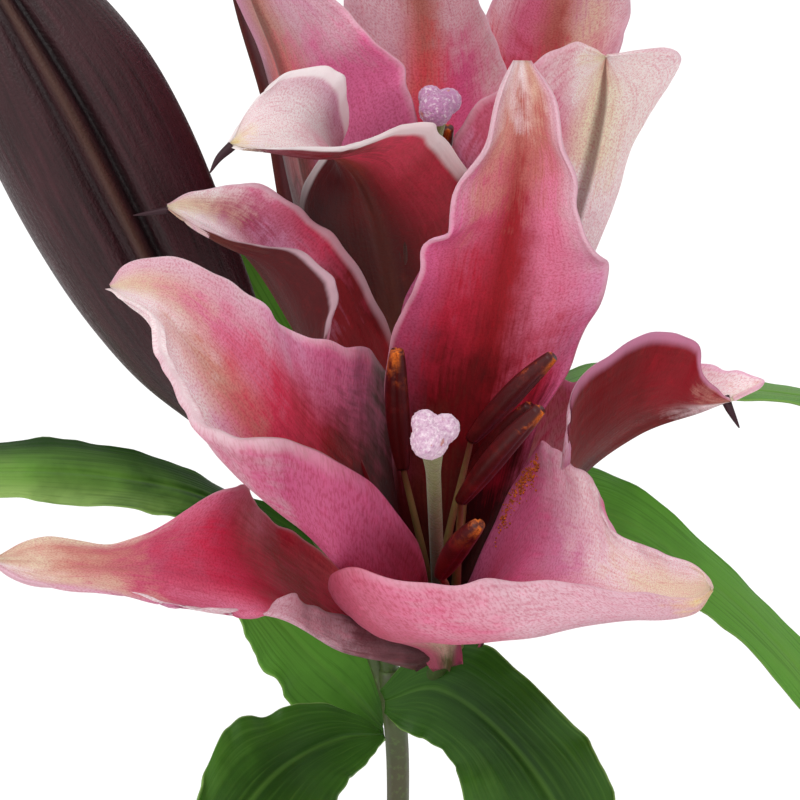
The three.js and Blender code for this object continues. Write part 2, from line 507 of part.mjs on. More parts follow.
for (let i = 0; i < LOWER_LEAVES.count; i++) {
  const leaf = lowerLeaf(i);
  addPiece("foliage", `leaf_lower_${i + 1}`, COLOURS.leaf, 0.5, null, (grow) => bladeGeometry(leafRails(leaf), leaf, LEAF_THICKNESS, grow));
}

const shaped = (piece, grow) => {
  const geometry = piece.make(grow);
  return solidOf(piece.frame ? geometry.applyMatrix4(piece.frame) : geometry);
};
const biggest = (solid) =>
  solid.decompose().reduce((most, body) => (body.volume() > most.volume() ? body : most));

// Each piece gives way to the earlier ones that it would touch, and keeps the gap to them.
const placed = [];
for (const piece of pieces) {
  let solid = shaped(piece, 0);
  for (const earlier of placed)
    if (earlier.grown.intersect(solid).volume() > 0) solid = solid.subtract(earlier.grown);
  placed.push({ piece, solid: biggest(solid), grown: shaped(piece, GAP) });
}

const lily = new THREE.Group();
const groups = new Map();
for (const { piece, solid } of placed) {
  if (!groups.has(piece.group)) {
    const group = new THREE.Group();
    groups.set(piece.group, group);
    lily.add(group);
  }
  const material = new THREE.MeshStandardMaterial({ color: piece.colour, roughness: piece.roughness, metalness: 0 });
  const geometry = geometryFrom(solid);
  geometry.computeBoundingBox();
  const centre = geometry.boundingBox.getCenter(new THREE.Vector3()).round();
  geometry.translate(-centre.x, -centre.y, -centre.z);
  const mesh = new THREE.Mesh(geometry, material);
  mesh.name = piece.name;
  mesh.position.copy(centre);
  groups.get(piece.group).add(mesh);
}

export default lily;
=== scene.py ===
"""A cut lily stem with two half-open flowers, one closed bud and its leaves.

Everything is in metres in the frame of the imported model: +Z up the stem, front at -Y, and the
origin at the centre of the flat cut end. Sizes below are in millimetres unless a name says so.
"""

import logging
import math
from dataclasses import dataclass, field
from enum import Enum
from typing import Callable, Optional, Sequence

import bpy
import numpy as np
from mathutils import Matrix, Vector


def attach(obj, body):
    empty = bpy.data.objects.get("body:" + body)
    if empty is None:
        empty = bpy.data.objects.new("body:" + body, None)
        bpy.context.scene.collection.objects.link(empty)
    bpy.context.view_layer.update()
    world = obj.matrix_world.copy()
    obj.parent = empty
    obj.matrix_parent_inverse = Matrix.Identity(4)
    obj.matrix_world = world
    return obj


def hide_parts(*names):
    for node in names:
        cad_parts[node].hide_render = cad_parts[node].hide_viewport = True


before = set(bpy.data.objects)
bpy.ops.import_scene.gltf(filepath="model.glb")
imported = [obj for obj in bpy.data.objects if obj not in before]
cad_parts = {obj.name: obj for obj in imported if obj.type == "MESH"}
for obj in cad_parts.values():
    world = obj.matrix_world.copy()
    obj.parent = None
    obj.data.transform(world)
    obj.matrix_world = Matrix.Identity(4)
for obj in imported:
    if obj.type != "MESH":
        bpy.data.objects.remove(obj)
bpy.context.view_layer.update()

LOG = logging.getLogger("lily")
MM = 0.001
Point = tuple[float, float, float]

# The head of flowers is laid out in a frame that leans back: x right, y to the back, z up.
FORK_HEIGHT = 400.0
HEAD_LEAN = math.radians(20)
HEAD_ORIGIN = (3.0, -26.5, FORK_HEIGHT + 74)
HEAD = Matrix.Translation(HEAD_ORIGIN) @ Matrix.Rotation(-HEAD_LEAN, 4, "X")


class Side(Enum):
    """Which margin of a blade, seen on its inner face with the tip up."""

    LEFT = -1
    RIGHT = 1


class Rank(Enum):
    """The two whorls of a lily flower and how far each stands from the axis, in mm."""

    PETAL = 5.2
    SEPAL = 7.0


# ---------------------------------------------------------------------------------------- maths


def unit(vectors: np.ndarray) -> np.ndarray:
    """Scales vectors to length one.

    Args:
        vectors: Any array whose last axis is x, y, z.

    Returns:
        The same array with each vector of length one.
    """
    length = np.linalg.norm(vectors, axis=-1, keepdims=True)
    return vectors / np.maximum(length, 1e-9)


def through(points: Sequence[Sequence[float]], places: np.ndarray) -> np.ndarray:
    """Reads a smooth line through evenly spaced points.

    Args:
        points: The points that the line passes through.
        places: Where to read it, 0 at the first point and 1 at the last.

    Returns:
        One point for each place.
    """
    known = np.asarray(points, float)
    spot = np.clip(places, 0, 1) * (len(known) - 1)
    first = np.minimum(spot.astype(int), len(known) - 2)
    part = (spot - first)[:, None]
    padded = np.vstack([2 * known[0] - known[1], known, 2 * known[-1] - known[-2]])
    a, b, c, d = (padded[first + step] for step in range(4))
    bend = (2 * a - 5 * b + 4 * c - d) * part**2 + (3 * b - a - 3 * c + d) * part**3
    return 0.5 * (2 * b + (c - a) * part + bend)


def levels(values: Sequence[float], places: np.ndarray) -> np.ndarray:
    """Reads a smooth run through evenly spaced values.

    Args:
        values: The values that the run passes through.
        places: Where to read it, 0 at the first value and 1 at the last.

    Returns:
        One value for each place.
    """
    return through([(value, 0.0, 0.0) for value in values], places)[:, 0]


def smooth_step(low: float, high: float, values: np.ndarray) -> np.ndarray:
    """Eases from 0 at low to 1 at high.

    Args:
        low: The value where the rise starts.
        high: The value where it ends.
        values: The values to ease.

    Returns:
        Numbers from 0 to 1.
    """
    part = np.clip((values - low) / (high - low), 0, 1)
    return part * part * (3 - 2 * part)


def ripple(seed: int, places: np.ndarray, waves: Sequence[float]) -> np.ndarray:
    """Adds up sine waves with phases of their own, for a margin that never quite repeats.

    Args:
        seed: Chooses the phases and heights.
        places: Where to read it, 0 to 1.
        waves: How many times each wave repeats over the length.

    Returns:
        Heights of about -1 to 1.
    """
    draw = np.random.default_rng(seed)
    total = np.zeros_like(places)
    for count in waves:
        phase, height = draw.uniform(0, 2 * math.pi), draw.uniform(0.5, 1.0)
        total += height * np.sin(2 * math.pi * count * places + phase)
    return total / max(len(waves) ** 0.5, 1)


# --------------------------------------------------------------------------------------- meshes


@dataclass
class Shape:
    """A closed mesh in mm, with a value at each point for the finishes to read."""

    points: np.ndarray
    faces: list[tuple[int, ...]]
    values: dict[str, np.ndarray] = field(default_factory=dict)

    def joined(self, other: "Shape") -> "Shape":
        """Puts two shapes in one.

        Args:
            other: The shape to add.

        Returns:
            A new shape that holds both.
        """
        shift = len(self.points)
        faces = self.faces + [tuple(i + shift for i in face) for face in other.faces]
        names = sorted(set(self.values) | set(other.values))
        values = {
            name: np.concatenate([
                part.values.get(name, np.zeros(len(part.points))) for part in (self, other)
            ])
            for name in names
        }
        return Shape(np.vstack([self.points, other.points]), faces, values)

    def moved(self, carrier: Matrix) -> "Shape":
        """Carries the shape by a frame's matrix."""
        turn = np.array(carrier)
        return Shape(self.points @ turn[:3, :3].T + turn[:3, 3], self.faces, self.values)

    def to_object(
        self, name: str, frame_matrix: Optional[Matrix], material: bpy.types.Material
    ) -> bpy.types.Object:
        """Makes the mesh object, in metres in the model's own frame.

        Args:
            name: The piece's name.
            frame_matrix: The frame that the points are in, or None for the model's own.
            material: The finish of the whole piece.

        Returns:
            The new object.
        """
        placed = self if frame_matrix is None else self.moved(frame_matrix)
        mesh = bpy.data.meshes.new(name)
        mesh.from_pydata((placed.points * MM).tolist(), [], self.faces)
        for key, numbers in self.values.items():
            layer = mesh.attributes.new(key, "FLOAT", "POINT")
            layer.data.foreach_set("value", numbers.astype(np.float32))
        mesh.polygons.foreach_set("use_smooth", [True] * len(mesh.polygons))
        mesh.materials.append(material)
        mesh.validate()
        mesh.update()
        made = bpy.data.objects.new(name, mesh)
        bpy.context.scene.collection.objects.link(made)
        return made


def shell(inner: np.ndarray, outer: np.ndarray, values: dict[str, np.ndarray]) -> Shape:
    """Closes two facing grids into one thin solid that ends in a point.

    Args:
        inner: Grid of points of the inner face, rows from foot to tip.
        outer: The same grid on the outer face.
        values: Grids of numbers that hold on both faces.

    Returns:
        The closed shape. Its value "side" is 0 on the inner face and 1 on the outer one.
    """
    rows, columns = inner.shape[:2]
    count = rows * columns
    index = np.arange(count).reshape(rows, columns)
    faces: list[tuple[int, ...]] = []
    a, b, c, d = index[:-1, :-1], index[:-1, 1:], index[1:, 1:], index[1:, :-1]
    for grid, shift in (((a, b, c, d), 0), ((a, d, c, b), count)):
        stacked = np.stack([corner.ravel() + shift for corner in grid], axis=1)
        faces += [tuple(row) for row in stacked.tolist()]
    edge = (index[:, 0], index[-1, 1:], index[-2::-1, -1], index[0, -2:0:-1])
    around = np.concatenate(edge).tolist()
    for here, there in zip(around, around[1:] + around[:1]):
        faces.append((here, there, there + count, here + count))
    spread = {name: np.concatenate([grid.ravel(), grid.ravel()]) for name, grid in values.items()}
    spread["side"] = np.concatenate([np.zeros(count), np.ones(count)])
    return Shape(np.vstack([inner.reshape(-1, 3), outer.reshape(-1, 3)]), faces, spread)


@dataclass(frozen=True)
class Blade:
    """A petal, sepal or leaf: three rails from foot to tip, with a hollow section between them.

    A belly of 1 keeps that half flat and bends it up late, near its margin. Waves lift a margin
    out of the surface, scallops cut into its outline, and lips roll it thick. The ribs run
    lengthwise, the groove lies along the middle of the inner face and the keel under it.
    """

    left: tuple[Point, ...]
    keel: tuple[Point, ...]
    right: tuple[Point, ...]
    belly: tuple[float, float] = (0.0, 0.0)
    wave: float = 0.6
    scallop: float = 0.4
    lips: tuple[float, float] = (0.5, 0.5)
    thick: float = 0.55
    keel_thick: float = 0.9
    rib: float = 0.05
    ribs: int = 15
    groove: float = 0.35
    seed: int = 1
    rows: int = 110
    columns: int = 53
    last_row: float = 0.994
    crowding: float = 0.9

    def section(self, along: np.ndarray, across: np.ndarray) -> np.ndarray:
        """Finds the middle surface.

        Args:
            along: Places from foot (0) to tip (1).
            across: Places from the left margin (-1) to the right one (1).

        Returns:
            A grid of points, one row for each place along.
        """
        rails = (self.left, self.keel, self.right)
        left, keel, right = (through(rail, along)[:, None] for rail in rails)
        reach = np.abs(across)
        belly = np.where(across < 0, self.belly[0], self.belly[1])
        spread = np.sign(across) * ((1 - belly) * reach + belly * (1 - (1 - reach) ** 2))
        lift = (1 - belly) * reach**2 + belly * reach**3.5
        half = (right - left) / 2
        hollow = (left + right) / 2 - keel
        return keel + spread[None, :, None] * half + lift[None, :, None] * hollow

    def sizes(self) -> tuple[float, float]:
        """Measures the blade.

        Returns:
            Its length along the keel and its widest half width.
        """
        along = np.linspace(0, 1, 40)
        keel = through(self.keel, along)
        width = np.linalg.norm(through(self.right, along) - through(self.left, along), axis=1)
        return float(np.linalg.norm(np.diff(keel, axis=0), axis=1).sum()), float(width.max() / 2)

    def normals(self, grid: np.ndarray) -> np.ndarray:
        """Finds the direction that the inner face looks in.

        Args:
            grid: The surface's points.

        Returns:
            One unit vector for each point.
        """
        along = np.gradient(grid, axis=0)
        across = np.gradient(grid, axis=1)
        return unit(np.cross(across, along))

    def shape(self) -> Shape:
        """Builds the closed, rippled and ribbed shell.

        Returns:
            The shape, with the values along, across and side.
        """
        along = np.linspace(0, self.last_row, self.rows)
        bunch = math.pi / 2 * self.crowding
        across = np.sin(np.linspace(-1, 1, self.columns) * bunch) / math.sin(bunch)
        grid = self.section(along, across)
        normal = self.normals(grid)
        u, v = along[:, None], across[None, :]
        swell = np.sin(math.pi * u) ** 0.7
        for side in Side:
            here = np.clip(side.value * v, 0, 1)
            bend = ripple(self.seed * 7 + side.value, along, (2.6, 4.3, 7.1))[:, None]
            crinkle = ripple(self.seed * 11 + side.value, along, (9.0, 14.0, 19.0))[:, None]
            push = self.wave * bend * here**3 + 0.28 * self.wave * crinkle * here**8
            grid = grid + (push * swell)[..., None] * normal
            edge, within = (-1, -4) if side is Side.RIGHT else (0, 3)
            outward = unit(grid[:, edge] - grid[:, within])
            notch = ripple(self.seed * 13 + side.value, along, (3.7, 6.1, 11.0))[:, None] * here**6
            grid = grid + (self.scallop * notch * swell)[..., None] * outward[:, None]
        normal = self.normals(grid)
        drift = ripple(self.seed * 3, along, (0.7, 1.6))[:, None] * 0.25
        ribs = np.cos(math.pi * (self.ribs * v + drift)) * (1 - np.abs(v) ** 6)
        middle = np.exp(-((v / 0.07) ** 2)) * smooth_step(1.0, 0.8, u)
        lip = np.where(v < 0, self.lips[0], self.lips[1])
        rolled = smooth_step(0.86, 1.0, np.abs(v)) * lip / 2
        inside = self.thick / 2 + self.rib * ribs - self.groove * middle + rolled
        outside = self.thick / 2 + self.rib * ribs + self.keel_thick * middle + rolled
        round_off = 1 - 0.75 * smooth_step(0.965, 1.0, np.abs(v))
        inner = grid + (inside * round_off)[..., None] * normal
        outer = grid - (outside * round_off)[..., None] * normal
        values = {"along": u + 0 * v, "across": v + 0 * u}
        return shell(inner, outer, values)


def ring_faces(rows: int, sides: int, turned: bool = False) -> list[tuple[int, ...]]:
    """Joins a stack of rings into one skin and closes each end on a point.

    Args:
        rows: How many rings there are.
        sides: Points round each ring.
        turned: True where the rings run clockwise, seen from the last one.

    Returns:
        The faces. The two end points come after the rings' own points.
    """
    index = np.arange(rows * sides).reshape(rows, sides)
    after = np.roll(index, -1, axis=1)
    corners = [index[:-1], after[:-1], after[1:], index[1:]]
    if turned:
        corners[1], corners[3] = corners[3], corners[1]
    faces = [tuple(face) for face in np.stack(corners, axis=-1).reshape(-1, 4).tolist()]
    step = -1 if turned else 1
    for here, there in zip(index.T.tolist(), after.T.tolist()):
        faces.append((rows * sides, *(there[0], here[0])[::step]))
        faces.append((rows * sides + 1, *(here[-1], there[-1])[::step]))
    return faces


def limb(
    path: Sequence[Sequence[float]],
    radius: Callable[[np.ndarray], np.ndarray],
    section: Optional[Callable[[np.ndarray, np.ndarray], np.ndarray]] = None,
    rows: int = 60,
    sides: int = 20,
) -> Shape:
    """Builds a closed round limb along a line.

    Args:
        path: Points that the middle of the limb passes through.
        radius: Gives the radius for places along, 0 to 1.
        section: Scales the radius for places along and angles round, both as grids.
        rows: Rings along the limb.
        sides: Points round each ring.

    Returns:
        The shape, with the values along and around (an angle from 0 to 1).
    """
    fine = through(path, np.linspace(0, 1, rows * 6))
    run = np.concatenate([[0], np.cumsum(np.linalg.norm(np.diff(fine, axis=0), axis=1))])
    along = np.linspace(0, 1, rows)
    centre = np.stack([np.interp(along * run[-1], run, fine[:, axis]) for axis in range(3)], axis=1)
    ahead = unit(np.gradient(centre, axis=0))
    start = np.cross(ahead[0], (0, 0, 1.0) if abs(ahead[0][2]) < 0.9 else (0, 1.0, 0))
    first = [unit(start)]
    for row in range(1, rows):
        carried = first[-1] - np.dot(first[-1], ahead[row]) * ahead[row]
        first.append(unit(carried))
    one = np.array(first)
    two = np.cross(ahead, one)
    turn = np.arange(sides) / sides
    angle = 2 * math.pi * turn
    size = radius(along)[:, None] * np.ones((1, sides))
    if section is not None:
        size = size * section(along[:, None] + 0 * angle[None], angle[None] + 0 * along[:, None])
    cosine, sine = np.cos(angle)[None, :, None], np.sin(angle)[None, :, None]
    points = centre[:, None] + size[..., None] * (one[:, None] * cosine + two[:, None] * sine)
    every = np.vstack([points.reshape(-1, 3), centre[:1], centre[-1:]])
    values = {
        "along": np.concatenate([np.repeat(along, sides), [0, 1]]),
        "around": np.concatenate([np.tile(turn, rows), [0, 0]]),
    }
    return Shape(every, ring_faces(rows, sides), values)


# -------------------------------------------------------------------------------------- finishes


class Hue(Enum):
    """The lily's colours as they look in plain daylight, from 0 to 255; some also hold painted shade.
    """

    # The throat's own near-black red at the foot of each inner face, darkened further with painted
    # shade of the deep throat.
    SHADED_THROAT = (40, 8, 12)
    # The throat's dark red, partly painted shade of the throat; on some outer faces it is painted
    # shade.
    THROAT = (60, 7, 13)
    WINE = (86, 6, 14)
    OXBLOOD = (120, 6, 16)
    GARNET = (150, 16, 34)
    RED = (166, 18, 34)
    CRIMSON = (200, 36, 66)
    CHERRY = (226, 58, 96)
    CORAL = (246, 112, 116)
    ROSE = (214, 98, 130)
    FUCHSIA = (238, 124, 176)
    PINK = (230, 134, 166)
    ORCHID = (226, 106, 154)
    LILAC = (232, 164, 200)
    BLUSH = (232, 196, 208)
    SHELL = (222, 164, 146)
    CLAY = (198, 118, 106)
    PEACH = (232, 206, 180)
    CREAM = (246, 240, 208)
    SNOW = (254, 246, 246)
    MAUVE = (182, 76, 108)
    DUSK = (138, 82, 92)
    PLUM = (86, 34, 44)
    RUSSET = (156, 52, 38)
    BARK = (110, 50, 36)
    YELLOW = (250, 240, 176)
    OLIVE = (96, 98, 48)
    HORN = (66, 38, 46)
    # Painted shade for the deep furrows of the bud.
    BUD_FURROW_SHADE = (18, 7, 9)
    BUD_DARK = (38, 12, 16)
    BUD_MAUVE = (64, 27, 34)
    BUD_BROWN = (72, 42, 28)
    RUST = (168, 78, 26)
    ORANGE = (222, 112, 36)
    POD = (66, 10, 12)
    POD_LIGHT = (98, 20, 20)
    STIGMA = (214, 180, 200)
    STIGMA_DUSK = (176, 116, 158)
    # The style's olive green, made darker with painted shade.
    STYLE = (112, 116, 48)
    FILAMENT = (140, 116, 70)
    LEAF_DEEP = (30, 66, 8)
    LEAF = (54, 98, 22)
    LEAF_BRIGHT = (98, 158, 54)
    LEAF_LIGHT = (112, 160, 64)
    LEAF_PALE = (160, 194, 108)
    STEM = (60, 76, 32)
    FLOOR = (250, 250, 250)

    def shader(self) -> tuple[float, float, float, float]:
        """Gives the colour in the linear values that a shader reads.

        Returns:
            Red, green, blue and alpha.
        """
        parts = []
        for level in self.value:
            part = level / 255
            parts.append(part / 12.92 if part <= 0.04045 else ((part + 0.055) / 1.055) ** 2.4)
        return (parts[0], parts[1], parts[2], 1.0)


Wash = tuple[tuple[float, Hue], ...]
Socket = bpy.types.NodeSocket
Feed = Socket | float


class Palette:
    """Builds the node tree of one finish, one small step at a time."""

    def __init__(self, name: str, roughness: float) -> None:
        """Starts a finish.

        Args:
            name: The material's name.
            roughness: The roughness where nothing changes it.
        """
        self.material = bpy.data.materials.new(name)
        self.material.use_nodes = True
        self.nodes = self.material.node_tree.nodes
        self.links = self.material.node_tree.links
        self.surface = self.nodes["Principled BSDF"]
        self.set("Roughness", roughness)

    def set(self, socket: str, value: float | tuple[float, ...]) -> None:
        """Sets a value that is the same all over the surface."""
        self.surface.inputs[socket].default_value = value

    def feed(self, socket: str, source: Socket) -> None:
        """Lets a pattern drive one of the surface's sockets."""
        self.links.new(source, self.surface.inputs[socket])

    def plug(self, source: Feed, target: Socket) -> None:
        """Links a pattern to a socket, or sets the socket to a number.

        Args:
            source: The pattern or number.
            target: The socket.
        """
        if isinstance(source, (int, float)):
            target.default_value = source
        else:
            self.links.new(source, target)

    def value(self, name: str) -> Socket:
        """Reads a value that the mesh carries at each point.

        Args:
            name: The value's name.

        Returns:
            The value as a pattern.
        """
        node = self.nodes.new("ShaderNodeAttribute")
        node.attribute_name = name
        return node.outputs["Fac"]

    def place(self) -> Socket:
        """Reads the place on the object, in metres."""
        return self.nodes.new("ShaderNodeTexCoord").outputs["Object"]

    def vector(self, x: Feed, y: Feed, z: Feed) -> Socket:
        """Makes a vector of three patterns or numbers.

        Args:
            x: Its first part.
            y: Its second part.
            z: Its third part.

        Returns:
            The vector.
        """
        node = self.nodes.new("ShaderNodeCombineXYZ")
        for source, target in zip((x, y, z), node.inputs):
            self.plug(source, target)
        return node.outputs[0]

    def maths(self, operation: str, a: Feed, b: Feed = 0.0, clamp: bool = False) -> Socket:
        """Does one sum on two patterns or numbers.

        Args:
            operation: The node's name for the sum.
            a: The first pattern or number.
            b: The second one.
            clamp: True to keep the result from 0 to 1.

        Returns:
            The result.
        """
        node = self.nodes.new("ShaderNodeMath")
        node.operation = operation
        node.use_clamp = clamp
        self.plug(a, node.inputs[0])
        self.plug(b, node.inputs[1])
        return node.outputs[0]

    def times(self, a: Feed, b: Feed) -> Socket:
        """Multiplies two patterns or numbers."""
        return self.maths("MULTIPLY", a, b)

    def plus(self, a: Feed, b: Feed, clamp: bool = False) -> Socket:
        """Adds two patterns or numbers, and can keep the result from 0 to 1."""
        return self.maths("ADD", a, b, clamp)

    def size(self, source: Feed) -> Socket:
        """Drops a pattern's sign."""
        return self.maths("ABSOLUTE", source)

    def shift(self, cloud: Socket, reach: float) -> Socket:
        """Turns levels round 0.5 into shifts round 0."""
        return self.times(self.maths("SUBTRACT", cloud, 0.5), reach)

    def ease(
        self, source: Feed, low: float, high: float, to_low: float = 0.0, to_high: float = 1.0
    ) -> Socket:
        """Eases a pattern between two levels.

        Args:
            source: The pattern.
            low: The level where the change starts.
            high: The level where it ends.
            to_low: The result at low and below.
            to_high: The result at high and above.

        Returns:
            The eased pattern.
        """
        node = self.nodes.new("ShaderNodeMapRange")
        node.interpolation_type = "SMOOTHSTEP"
        for source_value, target in zip((source, low, high, to_low, to_high), node.inputs):
            self.plug(source_value, target)
        return node.outputs[0]

    def noise(self, vector: Socket, scale: float, detail: float = 3.0, rough: float = 0.55) -> Socket:
        """Makes a cloudy pattern.

        Args:
            vector: Where to read it.
            scale: How many clouds fit in one unit.
            detail: How many finer layers it has.
            rough: How strong the finer layers are.

        Returns:
            Levels round 0.5.
        """
        node = self.nodes.new("ShaderNodeTexNoise")
        node.inputs["Scale"].default_value = scale
        node.inputs["Detail"].default_value = detail
        node.inputs["Roughness"].default_value = rough
        self.links.new(vector, node.inputs["Vector"])
        return node.outputs["Fac"]

    def wash(self, source: Feed, stops: Wash) -> Socket:
        """Blends from colour to colour.

        Args:
            source: The pattern that says how far along the wash to read.
            stops: Each colour and its place, from 0 to 1.

        Returns:
            The colour.
        """
        node = self.nodes.new("ShaderNodeValToRGB")
        ramp = node.color_ramp
        while len(ramp.elements) < len(stops):
            ramp.elements.new(0.5)
        for element, (spot, _) in zip(ramp.elements, stops):
            element.position = spot
        for element, (_, hue) in zip(ramp.elements, stops):
            element.color = hue.shader()
        self.plug(source, node.inputs["Fac"])
        return node.outputs["Color"]

    def mix(self, factor: Feed, a: Socket | Hue, b: Socket | Hue, blend: str = "MIX") -> Socket:
        """Mixes two colours.

        Args:
            factor: How much of the second one, from 0 to 1.
            a: The first colour.
            b: The second colour.
            blend: The node's name for the way to mix.

        Returns:
            The colour.
        """
        node = self.nodes.new("ShaderNodeMix")
        node.data_type = "RGBA"
        node.blend_type = blend
        self.plug(factor, node.inputs[0])
        for source, target in ((a, node.inputs[6]), (b, node.inputs[7])):
            if isinstance(source, Hue):
                target.default_value = source.shader()
            else:
                self.links.new(source, target)
        return node.outputs[2]

    def lit_through(self, colour: Socket, share: float) -> None:
        """Lets some of the light that falls on the far side shine through.

        Args:
            colour: The colour that the light takes on.
            share: How much of the surface's light comes through, from 0 to 1.
        """
        thin = self.nodes.new("ShaderNodeBsdfTranslucent")
        self.links.new(colour, thin.inputs["Color"])
        both = self.nodes.new("ShaderNodeMixShader")
        both.inputs[0].default_value = share
        self.links.new(self.surface.outputs[0], both.inputs[1])
        self.links.new(thin.outputs[0], both.inputs[2])
        self.links.new(both.outputs[0], self.nodes["Material Output"].inputs["Surface"])

    def bump(self, height: Socket, depth: float, strength: float = 1.0) -> None:
        """Raises the surface by a pattern.

        Args:
            height: The pattern.
            depth: What a level of 1 stands for, in mm.
            strength: How much of it shows.
        """
        node = self.nodes.new("ShaderNodeBump")
        node.inputs["Strength"].default_value = strength
        node.inputs["Distance"].default_value = depth * MM
        self.links.new(height, node.inputs["Height"])
        self.links.new(node.outputs[0], self.surface.inputs["Normal"])


def run(*hues: Hue) -> Wash:
    """Spaces colours evenly from a blade's foot to its tip."""
    return tuple((number / (len(hues) - 1), hue) for number, hue in enumerate(hues))


def side_by_side(
    paint: Palette, place: Socket, along: Socket, washes: Sequence[Wash], reach: float = 1.0
) -> Socket:
    """Blends washes that lie side by side across a blade.

    Args:
        paint: The finish being built.
        place: The place across, from -1 to 1.
        along: The place along, from 0 to 1.
        washes: The washes from left to right.
        reach: How far from the middle the first and last of them lie.

    Returns:
        The colour.
    """
    step = 2 * reach / (len(washes) - 1)
    colour = paint.wash(along, washes[0])
    for number, wash in enumerate(washes[1:], 1):
        low = -reach + step * (number - 1)
        part = paint.ease(place, low + 0.05 * step, low + 0.95 * step)
        colour = paint.mix(part, colour, paint.wash(along, wash))
    return colour


@dataclass
class Skin:
    """Where a finish stands on a blade: shares of its length and width, and measures in mm."""

    paint: Palette
    length: float
    half_width: float

    def __post_init__(self) -> None:
        """Reads the places that the blade's mesh carries."""
        self.along, self.across, self.side = map(self.paint.value, ("along", "across", "side"))
        self.over = self.paint.times(self.across, self.half_width)
        self.down = self.paint.times(self.along, self.length)
        self.layer = self.paint.times(self.side, 9.0)

    def place(self, drawn: float = 1.0) -> Socket:
        """Gives the place in mm, with lengths drawn out so that patterns run along the blade."""
        return self.paint.vector(self.over, self.paint.times(self.down, drawn), self.layer)


@dataclass(frozen=True)
class TepalFinish:
    """The colours of a petal or sepal, as washes from its foot to its tip.

    The inner face has a wash for each of five lines: left margin, left flank, middle, right flank
    and right margin. The outer face has three: left margin, keel and right margin.
    """

    inner: tuple[Wash, Wash, Wash, Wash, Wash]
    outer: tuple[Wash, Wash, Wash]
    rim: Hue = Hue.BLUSH
    rim_strength: float = 0.6
    rim_width: float = 0.5
    ridge: Hue = Hue.BARK
    ridge_strength: float = 0.45
    keel_reach: float = 0.55
    mottle: float = 0.5
    light_share: float = 0.36

    def material(self, name: str, length: float, half_width: float) -> bpy.types.Material:
        """Builds the finish for a blade of a known size.

        Args:
            name: The material's name.
            length: The blade's length in mm.
            half_width: Its half width in mm.

        Returns:
            The material.
        """
        paint = Palette(name, 0.5)
        skin = Skin(paint, length, half_width)
        cloud = paint.noise(skin.place(), 0.14, 4.0)
        cell = paint.noise(skin.place(0.45), 0.75, 4.0, 0.62)
        grain = paint.noise(skin.place(), 2.2, 3.0, 0.65)
        fibre = paint.noise(skin.place(0.08), 1.5, 3.0, 0.55)
        drift = paint.shift(cloud, 0.3)
        stray = paint.plus(drift, paint.shift(fibre, 0.2))
        moved = paint.plus(skin.along, stray, clamp=True)
        swayed = paint.plus(skin.across, stray)
        inside = side_by_side(paint, swayed, moved, self.inner)
        outside = side_by_side(paint, swayed, moved, self.outer, self.keel_reach)
        ridge = paint.ease(paint.size(skin.across), 0.03, 0.12, self.ridge_strength, 0.0)
        colour = paint.mix(skin.side, inside, paint.mix(ridge, outside, self.ridge))
        wet = paint.ease(grain, 0.42, 0.66, 0.0, self.mottle)
        colour = paint.mix(wet, colour, Hue.ROSE, "MULTIPLY")
        patch = paint.ease(cell, 0.46, 0.3, 0.0, 0.5)
        colour = paint.mix(patch, colour, Hue.BLUSH, "SOFT_LIGHT")
        shade = paint.ease(fibre, 0.5, 0.7, 0.0, 0.3)
        colour = paint.mix(shade, colour, Hue.PINK, "MULTIPLY")
        wobble = paint.plus(paint.size(skin.across), paint.times(drift, 0.12))
        inset = 1 - self.rim_width / half_width
        rim = paint.ease(wobble, inset - 0.025, inset + 0.025, 0.0, self.rim_strength)
        rim = paint.times(rim, paint.ease(skin.along, 0.25, 0.5))
        colour = paint.mix(rim, colour, self.rim)
        colour = paint.mix(paint.value("horn"), colour, Hue.HORN)
        paint.feed("Base Color", colour)
        paint.feed("Roughness", paint.ease(grain, 0.3, 0.7, 0.62, 0.42))
        height = paint.plus(paint.times(fibre, 0.7), paint.times(cell, 0.8))
        paint.bump(paint.plus(height, paint.times(grain, 0.35)), 0.25, 0.6)
        paint.set("Sheen Weight", 0.04)
        paint.set("Specular IOR Level", 0.3)
        paint.lit_through(colour, self.light_share)
        return paint.material


@dataclass(frozen=True)
class LeafFinish:
    """A satin leaf with parallel veins: a wash along each margin and the middle, paler below."""

    top: tuple[Wash, Wash, Wash]
    under: Hue = Hue.LEAF_LIGHT
    middle: Hue = Hue.LEAF_LIGHT
    middle_strength: float = 0.25
    edge: Hue = Hue.LEAF_PALE

    def material(self, name: str, length: float, half_width: float) -> bpy.types.Material:
        """Builds the finish for a leaf of a known size.

        Args:
            name: The material's name.
            length: The leaf's length in mm.
            half_width: Its half width in mm.

        Returns:
            The material.
        """
        paint = Palette(name, 0.42)
        skin = Skin(paint, length, half_width)
        grain = paint.noise(skin.place(), 2.0, 2.0)
        vein = paint.noise(skin.place(0.03), 1.1, 2.0, 0.5)
        drift = paint.shift(paint.noise(skin.place(), 0.07, 4.0), 0.6)
        moved = paint.plus(skin.along, drift, clamp=True)
        colour = side_by_side(paint, paint.plus(skin.across, drift), moved, self.top)
        colour = paint.mix(skin.side, colour, self.under)
        colour = paint.mix(paint.ease(vein, 0.5, 0.72, 0.0, 0.14), colour, Hue.LEAF_LIGHT)
        colour = paint.mix(paint.ease(vein, 0.5, 0.32, 0.0, 0.3), colour, Hue.LEAF_DEEP)
        rib = paint.ease(paint.size(skin.across), 0.01, 0.07, self.middle_strength, 0.0)
        colour = paint.mix(rib, colour, self.middle)
        rim = paint.ease(paint.size(skin.across), 0.965, 1.0, 0.0, 0.5)
        colour = paint.mix(rim, colour, self.edge)
        paint.feed("Base Color", colour)
        paint.feed("Roughness", paint.ease(grain, 0.3, 0.7, 0.5, 0.36))
        paint.bump(paint.plus(vein, paint.times(grain, 0.2)), 0.2, 0.5)
        paint.set("Specular IOR Level", 0.28)
        paint.lit_through(colour, 0.25)
        return paint.material


